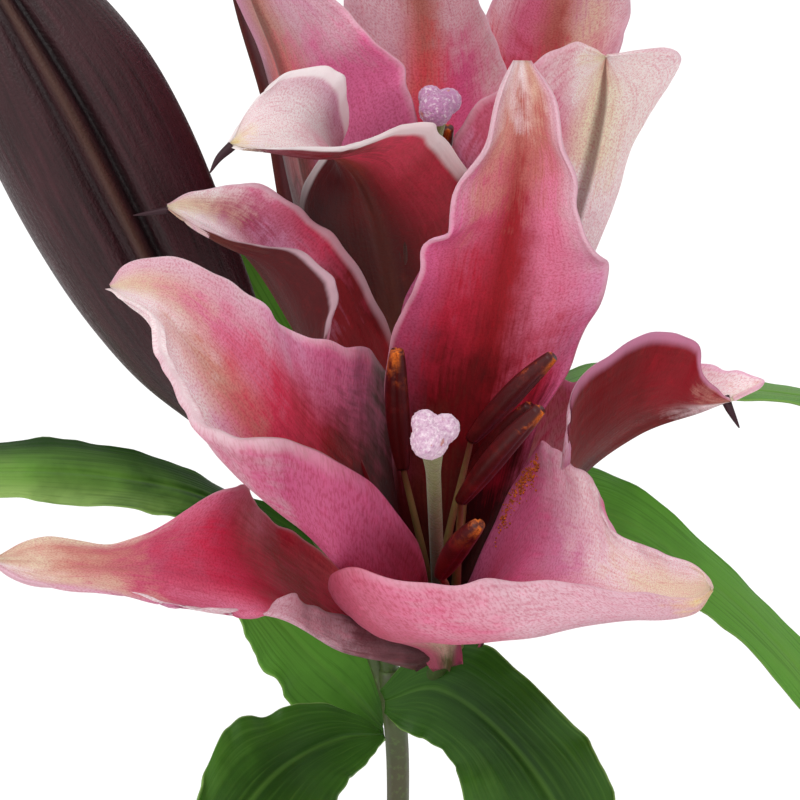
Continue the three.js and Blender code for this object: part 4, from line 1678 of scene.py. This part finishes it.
FRONT_SEPAL_UPPER = TepalFinish(
    inner=(
        run(H.WINE, H.OXBLOOD, H.GARNET, H.ORCHID, H.LILAC, H.LILAC, H.BLUSH, H.CREAM),
        run(H.THROAT, H.WINE, H.OXBLOOD, H.GARNET, H.ROSE, H.ROSE, H.BLUSH, H.CREAM),
        run(H.THROAT, H.WINE, H.OXBLOOD, H.GARNET, H.ROSE, H.BLUSH, H.SNOW, H.CREAM),
        run(H.THROAT, H.WINE, H.OXBLOOD, H.RED, H.LILAC, H.MAUVE, H.PEACH, H.CREAM),
        run(H.THROAT, H.WINE, H.RED, H.OXBLOOD, H.CHERRY, H.PINK, H.SNOW, H.BLUSH),
    ),
    # Outer face: the dark wine is partly its own colour, partly painted shade of its underside.
    outer=(
        run(H.WINE, H.GARNET, H.GARNET, H.WINE, H.WINE, H.WINE, H.BARK, H.PEACH),
        run(H.THROAT, H.WINE, H.WINE, H.WINE, H.WINE, H.WINE, H.BARK, H.PEACH),
        run(H.WINE, H.GARNET, H.GARNET, H.WINE, H.WINE, H.WINE, H.BARK, H.PEACH),
    ),
    rim_width=0.9,
    rim_strength=0.7,
)
BACK_PETAL_FRONT = TepalFinish(
    inner=(
        run(H.WINE, H.GARNET, H.CHERRY, H.PINK, H.BLUSH, H.SNOW, H.SNOW, H.CREAM),
        run(H.WINE, H.GARNET, H.CHERRY, H.ROSE, H.PINK, H.SNOW, H.SNOW, H.CREAM),
        run(H.WINE, H.GARNET, H.CHERRY, H.ROSE, H.PINK, H.SNOW, H.SNOW, H.YELLOW),
        run(H.WINE, H.GARNET, H.CHERRY, H.PINK, H.SNOW, H.SNOW, H.SNOW, H.CREAM),
        run(H.WINE, H.CHERRY, H.PINK, H.BLUSH, H.LILAC, H.BLUSH, H.SNOW, H.SNOW),
    ),
    # Outer face: the dark wine and throat red are partly its own colour, partly painted shade.
    outer=(
        run(H.WINE, H.OXBLOOD, H.GARNET, H.CRIMSON, H.CHERRY, H.OXBLOOD, H.DUSK, H.CREAM),
        run(H.WINE, H.BARK, H.WINE, H.OXBLOOD, H.RUSSET, H.CLAY, H.CREAM, H.YELLOW),
        run(H.THROAT, H.THROAT, H.THROAT, H.WINE, H.WINE, H.MAUVE, H.SNOW, H.SNOW),
    ),
    rim=H.SNOW,
    rim_width=1.8,
    rim_strength=0.9,
)
BACK_PETAL_LEFT = TepalFinish(
    inner=FRONT_PETAL_LEFT.inner,
    # Outer face: the wine at the foot of the keel and right margin is partly its own colour, partly
    # painted shade of the base.
    outer=(
        run(H.MAUVE, H.ORCHID, H.FUCHSIA, H.FUCHSIA, H.FUCHSIA, H.BLUSH, H.LILAC, H.BLUSH),
        run(H.WINE, H.WINE, H.MAUVE, H.OXBLOOD, H.CORAL, H.SHELL, H.SHELL, H.PEACH),
        run(H.WINE, H.WINE, H.WINE, H.PLUM, H.DUSK, H.LILAC, H.LILAC, H.BLUSH),
    ),
    ridge_strength=0.6,
)
BACK_PETAL_RIGHT = TepalFinish(
    inner=FRONT_PETAL_RIGHT.inner,
    outer=(
        run(H.ROSE, H.PINK, H.BLUSH, H.BLUSH, H.SNOW, H.SNOW, H.SNOW, H.SNOW),
        run(H.MAUVE, H.ROSE, H.PINK, H.BLUSH, H.SNOW, H.CREAM, H.CREAM, H.SHELL),
        run(H.ROSE, H.ROSE, H.FUCHSIA, H.LILAC, H.ROSE, H.PINK, H.SNOW, H.CREAM),
    ),
    ridge_strength=0.75,
)
BACK_SEPAL_UPPER = TepalFinish(
    inner=(
        run(H.SHADED_THROAT, H.WINE, H.CRIMSON, H.FUCHSIA, H.BLUSH, H.SNOW, H.SNOW, H.SNOW),
        run(H.SHADED_THROAT, H.WINE, H.RED, H.FUCHSIA, H.BLUSH, H.SNOW, H.BLUSH, H.PEACH),
        run(H.SHADED_THROAT, H.THROAT, H.RED, H.CHERRY, H.CORAL, H.SHELL, H.SHELL, H.PEACH),
        run(H.SHADED_THROAT, H.WINE, H.RED, H.FUCHSIA, H.FUCHSIA, H.SNOW, H.BLUSH, H.PEACH),
        run(H.SHADED_THROAT, H.WINE, H.CRIMSON, H.FUCHSIA, H.SNOW, H.SNOW, H.SNOW, H.SNOW),
    ),
    outer=FRONT_PETAL_UPPER.outer,
)
BACK_SEPAL_RIGHT = TepalFinish(
    inner=(
        run(H.SHADED_THROAT, H.WINE, H.CRIMSON, H.CHERRY, H.CHERRY, H.SNOW, H.SNOW, H.SNOW),
        run(H.SHADED_THROAT, H.WINE, H.RED, H.CHERRY, H.CRIMSON, H.PINK, H.PINK, H.PEACH),
        run(H.SHADED_THROAT, H.THROAT, H.RED, H.CHERRY, H.CHERRY, H.CLAY, H.SHELL, H.PEACH),
        run(H.SHADED_THROAT, H.WINE, H.RED, H.CHERRY, H.PINK, H.CREAM, H.BLUSH, H.PEACH),
        run(H.SHADED_THROAT, H.WINE, H.CRIMSON, H.PINK, H.BLUSH, H.SNOW, H.SNOW, H.SNOW),
    ),
    outer=FRONT_PETAL_UPPER.outer,
)
BACK_SEPAL_LEFT = TepalFinish(
    inner=FRONT_SEPAL_LEFT.inner,
    # Outer face: the wine, plum and throat red are partly its own colour, partly painted shade.
    outer=(
        run(H.WINE, H.WINE, H.PLUM, H.PLUM, H.PLUM, H.PLUM, H.DUSK, H.LILAC),
        run(H.THROAT, H.WINE, H.WINE, H.WINE, H.WINE, H.WINE, H.PLUM, H.DUSK),
        run(H.WINE, H.WINE, H.PLUM, H.PLUM, H.PLUM, H.DUSK, H.DUSK, H.LILAC),
    ),
)
LEAF_GREEN = LeafFinish(
    top=(
        run(H.LEAF, H.LEAF, H.LEAF),
        run(H.LEAF, H.LEAF_DEEP, H.LEAF),
        run(H.LEAF, H.LEAF, H.LEAF_BRIGHT),
    ),
)
LEAF_FRESH = LeafFinish(
    top=(
        run(H.LEAF, H.LEAF_BRIGHT, H.LEAF_BRIGHT),
        run(H.LEAF, H.LEAF_BRIGHT, H.LEAF_LIGHT),
        run(H.LEAF, H.LEAF_BRIGHT, H.LEAF_BRIGHT),
    ),
)
LEAF_BANDED = LeafFinish(
    top=(
        run(H.LEAF, H.LEAF, H.LEAF_PALE, H.LEAF_PALE),
        run(H.LEAF, H.LEAF_DEEP, H.LEAF_LIGHT, H.LEAF_PALE),
        run(H.LEAF, H.LEAF_DEEP, H.LEAF_DEEP, H.LEAF_DEEP),
    ),
    under=Hue.LEAF_PALE,
)

FRONT_AXIS = Axis((8, 25, -47), (-0.03, -0.89, 0.45), 95)
BACK_AXIS = Axis((1, 60, 1), (0.07, -0.767, 0.637), 86)

FRONT_TEPALS = (
    Tepal(
        "front_petal_upper", 10, Rank.PETAL,
        left=(
            (4, 12, -44), (2.5, 5, -35.5), (1, -2, -26.5), (-0.5, -9, -18), (-1.5, -14, -9),
            (-2.5, -19, 0), (-2, -25, 9.5), (0.5, -30, 16), (3, -33, 21.5), (4, -34, 26),
            (8.5, -33, 28.5), (9.5, -33, 36), (14.5, -31, 43.5), (17, -27, 52.5),
        ),
        keel=(
            (11, 3, -29.5), (14.5, -16, -3.5), (18, -25, 19), (21, -27, 41), (21.5, -20, 60.5),
        ),
        right=(
            (12.5, 12, -43), (15, 6, -36), (17.5, 0, -28), (20.5, -5, -20), (23, -10, -11),
            (25.5, -15, -1.5), (30, -19, 5.5), (32.5, -24, 12), (35.5, -28, 18), (36, -30, 23.5),
            (33.5, -31, 26.5), (30.5, -31, 32.5), (30.5, -31, 38.5), (28, -30, 44.5),
            (27, -27, 52.5),
        ),
        finish=FRONT_PETAL_UPPER, belly=(0, 0), wave=0.7, scallop=0.35, seed=11, blunt=1.4,
    ),
    Tepal(
        "front_petal_left", -70, Rank.PETAL,
        left=(
            (6, 9, -44.5), (4.5, -18, -30), (1, -34, -21.5), (-5, -45, -14), (-11.5, -53, -9.5),
            (-18, -58, -6.5), (-25.5, -62, -6), (-31.5, -63, -4), (-34, -62, -0.5), (-37, -60, 5),
            (-39, -58, 9), (-41, -52, 14.5), (-45.5, -46, 17),
        ),
        keel=(
            (0, 0, -36.5), (-11.5, -25, -21.5), (-23, -45, -5.5), (-38, -50, 13), (-49, -42, 19),
        ),
        right=(
            (7.5, 10, -30), (4.5, 2, -15), (0, -6, 0), (-5, -16, 8.5), (-10.5, -25, 10),
            (-16.5, -31, 11), (-21, -36, 13.5), (-25, -39, 18), (-31.5, -41, 21.5),
            (-39.5, -42, 24), (-46.5, -41, 22.5),
        ),
        finish=FRONT_PETAL_LEFT, belly=(0.8, 0.2), wave=0.8, lips=(2.2, 0.5), seed=12,
    ),
    Tepal(
        "front_petal_right", 165, Rank.PETAL,
        left=(
            (10.5, 15, -42), (13, 2, -32.5), (19, -8, -19), (24.5, -16, -8), (27.5, -20, -8.5),
            (30, -24, -11), (33, -28, -13.5), (35, -34, -19), (37.5, -40, -23), (41.5, -46, -24.5),
            (45.5, -52, -26), (49, -56, -27.5),
        ),
        keel=(
            (9.5, -2, -43.5), (13.5, -24, -37.5), (22, -40, -35.5), (31.5, -50, -34.5),
            (41, -56, -34), (47.5, -59, -33.5), (50.5, -60, -30.5),
        ),
        right=(
            (1, -7, -42.5), (-9.5, -21, -37.5), (-12.5, -29, -32), (-9.5, -42, -28), (0, -50, -30),
            (9, -53, -30), (18, -54, -29.5), (26, -58, -29.5), (33, -61, -30.5), (40, -62, -31),
            (46.5, -62, -32),
        ),
        finish=FRONT_PETAL_RIGHT, belly=(0.1, 0.7), wave=0.8, seed=13,
    ),
    Tepal(
        "front_sepal_left", -120, Rank.SEPAL,
        left=(
            (7.5, 6, -46), (0, -8, -40.5), (-9, -20, -38.5), (-15, -28, -36), (-19, -36, -33.5),
            (-23, -42, -35), (-34.5, -53, -34), (-47, -59, -31.5), (-59.5, -62, -29.5),
        ),
        keel=(
            (2, 5, -49), (-10, -16, -43), (-23, -36, -32.5), (-36.5, -48, -28), (-50.5, -57, -27),
            (-66.5, -60, -26),
        ),
        right=(
            (1.5, 10, -46.5), (-3, 6, -38), (-9.5, 2, -32.5), (-18.5, -4, -25.5), (-25, -8, -19.5),
            (-27.5, -28, -15), (-35.5, -38, -18.5), (-46.5, -48, -24), (-58.5, -56, -22.5),
        ),
        finish=FRONT_SEPAL_LEFT, belly=(0.6, 0.1), wave=0.8, seed=14,
    ),
    Tepal(
        "front_sepal_right", 75, Rank.SEPAL,
        left=(
            (13.5, 15, -34.5), (21.5, 8, -13), (27, -2, 1.5), (32, -8, 3.5), (39.5, -15, 6),
            (48.5, -20, 6.5), (54.5, -25, 6), (59, -28, 5), (63, -30, 3),
        ),
        keel=(
            (21.5, 8, -32), (31, -8, -14.5), (41, -22, -5.5), (50.5, -30, -1.5), (57, -33, 0),
        ),
        right=(
            (18.5, 0, -37), (24.5, -12, -23.5), (29.5, -24, -10.5), (29, -30, -5), (29.5, -35, 1.5),
            (34.5, -39, 7), (41.5, -42, 11), (47.5, -43, 11), (50.5, -42, 8.5), (51.5, -39, 4.5),
            (54.5, -35, 1.5),
        ),
        finish=FRONT_SEPAL_RIGHT, belly=(0, 0.5), wave=0.5, seed=15,
        horn=Horn(((56, -31.5, 0.5), (56.8, -32.2, -1.6), (58.4, -32.5, -4.8))),
    ),
    Tepal(
        "front_sepal_upper", -45, Rank.SEPAL,
        left=(
            (1, 0, -33), (-4.5, -10, -18), (-10, -18, -3.5), (-13, -23, 9), (-12.5, -24, 13),
            (-11, -24, 17.5), (-12, -23, 21.5), (-16.5, -20, 26), (-24, -13, 27.5), (-32, -7, 29.5),
            (-37.5, -2, 32),
        ),
        keel=(
            (3, 8, -26.5), (-9, -5, -5.5), (-18.5, -10, 13.5), (-27, -8, 26.5), (-36, -2, 32.5),
            (-43.5, 4, 36),
        ),
        right=(
            (7.5, 15, -23), (5, 11, -13), (2, 7, -2), (-0.5, 5, 9.5), (-4.5, 3, 18.5),
            (-9.5, 2, 27), (-15, 2, 32.5), (-19.5, 2, 36.5), (-26.5, 3, 40), (-33.5, 4, 39.5),
            (-39, 4, 38.5),
        ),
        finish=FRONT_SEPAL_UPPER, belly=(0.4, 0.1), wave=0.5, seed=16,
        horn=Horn(((-43, 3.8, 35.4), (-46.2, 4.2, 34.9), (-49.7, 4.5, 34.4)), 0.7),
    ),
)
BACK_TEPALS = (
    Tepal(
        "back_petal_front", 180, Rank.PETAL,
        left=(
            (8, 45, 10), (12.5, 34, 20), (15, 22, 29), (15, 12, 37), (12.5, 4, 43), (8, -4, 47.5),
            (6, -9, 50), (1, -16, 49), (-5.5, -23, 46), (-10.5, -28, 44), (-19, -33, 43.5),
            (-25.5, -34, 43),
        ),
        keel=(
            (-0.5, 40, 14), (-3.5, 14, 30.5), (-8, -8, 41.5), (-15, -24, 45), (-23.5, -31, 45.5),
            (-29.5, -32, 44),
        ),
        right=(
            (-7, 45, 11), (-14, 36, 20), (-18.5, 27, 28.5), (-19, 16, 37), (-15.5, 4, 44.5),
            (-9, -4, 50), (-10, -8, 55), (-10.5, -11, 58), (-13.5, -13, 60), (-19.5, -18, 58.5),
            (-24, -24, 54), (-27.5, -29, 48.5),
        ),
        finish=BACK_PETAL_FRONT, belly=(0.5, 0.5), wave=0.6, seed=21,
        horn=Horn(((-29, -31.8, 43.8), (-31.2, -32.4, 41.6), (-32.7, -32.6, 39.1))),
    ),
    Tepal(
        "back_petal_left", -80, Rank.PETAL,
        left=(
            (3, 40, 12), (5.5, 12, 33), (3, -3, 51.5), (-2, -6, 63), (-12, -2, 73.5), (-24, 5, 86),
        ),
        keel=(
            (-9, 52, 14.5), (-17, 42, 39), (-22, 28, 62.5), (-27.5, 20, 77), (-34, 12, 93.5),
        ),
        right=(
            (-5, 62, 14.5), (-11.5, 59, 31), (-19, 58, 43), (-21, 54, 51.5), (-24.5, 50, 66),
            (-32, 42, 80.5), (-36, 28, 90),
        ),
        finish=BACK_PETAL_LEFT, belly=(0.2, 0.2), wave=0.8, seed=22,
    ),
    Tepal(
        "back_petal_right", 105, Rank.PETAL,
        left=(
            (11.5, 62, 2), (31, 55, 17.5), (40, 44, 39.5), (47.5, 36, 54.5), (54.5, 28, 68),
        ),
        keel=(
            (11.5, 56, 5), (29, 42, 22), (35, 28, 40), (38, 20, 55), (39, 14, 65.5),
        ),
        right=(
            (8, 46, 12), (15.5, 22, 33), (10, 4, 48.5), (19.5, 2, 58.5), (32, 5, 66.5),
        ),
        finish=BACK_PETAL_RIGHT, belly=(0.2, 0.2), wave=0.8, seed=23,
    ),
    Tepal(
        "back_sepal_upper", 0, Rank.SEPAL,
        left=(
            (-3, 70, 15), (-8.5, 68, 42), (-10.5, 64, 67), (-11.5, 58, 85), (-6, 54, 97.5),
        ),
        keel=(
            (2.5, 80, 15), (5, 84, 45.5), (5.5, 78, 71), (4, 66, 88), (2.5, 50, 102),
        ),
        right=(
            (7.5, 72, 15), (18, 70, 44.5), (21.5, 66, 67), (17, 60, 83), (10.5, 54, 95.5),
        ),
        finish=BACK_SEPAL_UPPER, belly=(0.1, 0.1), wave=1.0, seed=24,
    ),
    Tepal(
        "back_sepal_right", 55, Rank.SEPAL,
        left=(
            (6.5, 85, 11), (17.5, 88, 39.5), (18.5, 84, 67), (19.5, 78, 83.5), (27.5, 68, 97),
        ),
        keel=(
            (11, 88, 13), (26.5, 95, 42), (32.5, 92, 68), (35, 82, 86.5), (40, 64, 101.5),
        ),
        right=(
            (15, 80, 11), (37, 84, 39), (44.5, 80, 64.5), (48, 72, 81.5), (46.5, 66, 94.5),
        ),
        finish=BACK_SEPAL_RIGHT, belly=(0.1, 0.1), wave=1.0, seed=25,
    ),
    Tepal(
        "back_sepal_left", -120, Rank.SEPAL,
        left=(
            (-7, 55, 11.5), (-15, 63, 35.5), (-18.5, 61, 60.5), (-23.5, 54, 76), (-30.5, 48, 89.5),
        ),
        keel=(
            (-11.5, 60, 11.5), (-23, 64, 36.5), (-27.5, 66, 61), (-32.5, 60, 79), (-37.5, 48, 98.5),
        ),
        right=(
            (-10.5, 66, 12.5), (-21.5, 74, 38.5), (-26.5, 74, 64), (-31, 66, 82), (-34.5, 56, 93),
        ),
        finish=BACK_SEPAL_LEFT, belly=(0.2, 0.2), wave=0.8, seed=26,
    ),
)
FRONT_STAMENS = (
    Stamen(-40, (-0.5, -33, 8.5), (0.5, -20, -12), dust=0.5),
    Stamen(15, (26, -36, 7.5), (12.5, -24, -7), dust=0.2),
    Stamen(105, (23.5, -44, -1.5), (10.5, -30, -17.5), dust=0.4),
    Stamen(150, (13, -50, -20.5), (7, -34, -30), dust=0.8),
    Stamen(-100, (-19, -52, -8.5), (-10, -38, -18), dust=0.2),
    Stamen(60, (23, -22, -1), (12, -10, -15), dust=0.2),
)


def back_stamens() -> tuple[Stamen, ...]:
    """Works out the back flower's stamens, which stand in a ring round its pistil.

    Returns:
        The six stamens.
    """
    made = []
    for clock in (-140, -85, -30, 25, 80, 130):
        away = BACK_AXIS.around(clock)
        outer, inner = BACK_AXIS.at(70) + away * 8.5, BACK_AXIS.at(46) + away * 6
        made.append(Stamen(clock, tuple(outer), tuple(inner)))
    return tuple(made)


HEAD_LEAVES = (
    Leaf(
        "leaf_front_right",
        left=(
            (-4, 44, -58.5), (4, 38, -49.5), (13.5, 32, -47.5), (22.5, 25, -52), (31, 14, -59.5),
            (37, 6, -66.5), (39.5, 0, -74), (40.5, -3, -84.5),
        ),
        keel=(
            (-3, 43, -60.5), (8, 36, -57.5), (21, 20, -65.5), (31.5, 5, -80), (40, -5, -102.5),
        ),
        right=(
            (-3, 43, -63), (0, 38, -65.5), (6, 32, -67.5), (11, 24, -71.5), (13.5, 14, -80),
            (22.5, 4, -93),
        ),
        finish=LEAF_GREEN, wave=1.0, seed=31,
    ),
    Leaf(
        "leaf_front_left",
        left=(
            (-3, 46, -68.5), (-6.5, 40, -72.5), (-11, 32, -76), (-14.5, 20, -82.5), (-24.5, 10, -94),
        ),
        keel=(
            (-3.5, 48, -68), (-13, 40, -68), (-24.5, 26, -73), (-35, 14, -85.5), (-46.5, 5, -104.5),
        ),
        right=(
            (-4, 50, -67.5), (-10, 46, -63), (-18, 40, -60.5), (-26, 36, -62), (-33.5, 32, -64),
            (-37.5, 24, -71.5), (-40, 12, -81.5),
        ),
        finish=LEAF_GREEN, wave=1.0, seed=32,
    ),
    Leaf(
        "leaf_left_low",
        left=(
            (-3, 55, -70), (-11.5, 54, -69), (-20.5, 50, -63.5), (-27, 47, -55), (-32.5, 46, -45),
        ),
        keel=(
            (-3.5, 57, -67.5), (-10.5, 58, -60), (-18.5, 56, -52.5), (-29, 52, -41),
            (-39.5, 45, -32.5),
        ),
        right=(
            (-3.5, 60, -62.5), (-3, 62, -52), (-11.5, 62, -44), (-25, 58, -35),
        ),
        finish=LEAF_FRESH, wave=0.8, seed=33,
    ),
    Leaf(
        "leaf_left",
        left=(
            (-3, 58, -54), (-20.5, 56, -39), (-40, 54, -26.5), (-51, 52, -23), (-69.5, 50, -21),
            (-81, 48, -20), (-99, 44, -21),
        ),
        keel=(
            (-3, 60, -52), (-21, 62, -33.5), (-38.5, 60, -21), (-58, 57, -16), (-78, 52, -14.5),
            (-97.5, 48, -16), (-118.5, 42, -26),
        ),
        right=(
            (-2.5, 62, -50), (-21, 68, -25.5), (-37, 66, -18.5), (-52.5, 64, -11.5),
            (-69, 62, -8.5), (-87, 58, -8.5), (-102.5, 52, -11.5),
        ),
        finish=LEAF_BANDED, wave=0.8, seed=34,
    ),
    Leaf(
        "leaf_right",
        left=(
            (-1.5, 64, -50), (19.5, 78, -19.5), (41, 78, -14), (63, 64, -29.5), (81, 48, -48),
            (97, 34, -68),
        ),
        keel=(
            (-1.5, 62, -52), (20, 70, -27.5), (42, 66, -23.5), (61.5, 54, -35.5), (79, 40, -53),
            (92, 28, -72.5), (103.5, 22, -100.5),
        ),
        right=(
            (-1.5, 60, -54), (21, 62, -35.5), (41, 56, -33), (58.5, 46, -41), (73.5, 36, -54),
            (87.5, 26, -74),
        ),
        finish=LEAF_FRESH, wave=0.8, seed=35,
    ),
    Leaf(
        "leaf_right_high",
        left=(
            (-0.5, 66, -33.5), (19.5, 82, -6.5), (41.5, 86, 8), (65, 84, 5), (88, 78, 2),
        ),
        keel=(
            (-0.5, 64, -34.5), (20, 74, -8.5), (41.5, 76, 4.5), (64, 74, 3), (86.5, 70, 0.5),
            (106, 66, -4),
        ),
        right=(
            (-0.5, 62, -35.5), (21, 68, -10.5), (42, 68, 2), (63, 66, 1), (86, 64, -1.5),
        ),
        finish=LEAF_FRESH, wave=0.5, seed=36,
    ),
    Leaf(
        "leaf_back_left",
        left=(
            (-6, 56, -40), (-21, 64, -10), (-37, 64, 13), (-39, 62, 27),
        ),
        keel=(
            (-5, 58, -39), (-15, 68, -6), (-28, 68, 17), (-34, 66, 29), (-34, 60, 36),
        ),
        right=(
            (-4, 60, -38), (-10, 72, -2), (-21, 70, 19), (-27, 66, 31),
        ),
        finish=LEAF_FRESH, wave=0.5, seed=37,
    ),
)


@dataclass(frozen=True)
class Studio:
    """A pale floor, white surroundings, soft lights and the camera."""

    camera_distance: float = 480.0
    lens: float = 117.0
    floor_size: float = 8.0
    sky: float = 0.84
    sun: float = 1.5
    sun_width: float = 50.0

    def camera(self) -> None:
        """Puts the camera straight in front of the leaning head."""
        data = bpy.data.cameras.new("camera")
        data.lens = self.lens
        data.sensor_width = 36.0
        data.clip_start, data.clip_end = 0.02, 40.0
        made = bpy.data.objects.new("camera", data)
        back = Matrix.Translation((0, -self.camera_distance, 0))
        place = HEAD @ back @ Matrix.Rotation(math.pi / 2, 4, "X")
        place.translation = place.translation * MM
        made.matrix_world = place
        bpy.context.scene.collection.objects.link(made)
        bpy.context.scene.camera = made

    def floor(self) -> None:
        """Lays the floor under the cut end."""
        half = self.floor_size / 2
        mesh = bpy.data.meshes.new("floor")
        corners = [(-half, -half, 0), (half, -half, 0), (half, half, 0), (-half, half, 0)]
        mesh.from_pydata(corners, [], [(0, 1, 2, 3)])
        paint = Palette("floor_white", 0.9)
        level = paint.noise(paint.place(), 3.0, 2.0)
        paint.feed("Base Color", paint.mix(paint.times(level, 0.05), Hue.FLOOR, Hue.SNOW))
        mesh.materials.append(paint.material)
        made = bpy.data.objects.new("floor", mesh)
        bpy.context.scene.collection.objects.link(made)

    def lights(self) -> None:
        """Sets white surroundings and one wide, soft light from above on the left."""
        world = bpy.data.worlds.new("white_room")
        world.use_nodes = True
        surroundings = world.node_tree.nodes["Background"].inputs
        surroundings["Strength"].default_value = self.sky
        surroundings["Color"].default_value = (1, 1, 1, 1)
        bpy.context.scene.world = world
        data = bpy.data.lights.new("key", "SUN")
        data.energy = self.sun
        data.angle = math.radians(self.sun_width)
        made = bpy.data.objects.new("key", data)
        made.rotation_euler = Vector((0.35, 0.6, -0.8)).to_track_quat("-Z", "Y").to_euler()
        bpy.context.scene.collection.objects.link(made)

    def build(self) -> None:
        """Sets up the whole studio."""
        self.camera()
        self.floor()
        self.lights()
        bpy.context.scene.view_settings.view_transform = "Standard"


def main() -> None:
    """Builds the studio, the stem, its flowers, its bud and its leaves."""
    logging.basicConfig(level=logging.INFO, format="%(name)s: %(message)s")
    Studio().build()
    Stem().build(FRONT_AXIS, BACK_AXIS)
    Bud().build()
    faces = Flower("front", FRONT_AXIS, FRONT_TEPALS, FRONT_STAMENS).build()
    Pollen().build(faces["front_petal_right"])
    Flower("back", BACK_AXIS, BACK_TEPALS, back_stamens(), Hue.STIGMA_DUSK).build()
    for leaf in HEAD_LEAVES:
        leaf.build(HEAD)
    LowerLeaves().build()


if __name__ == "__main__":
    main()
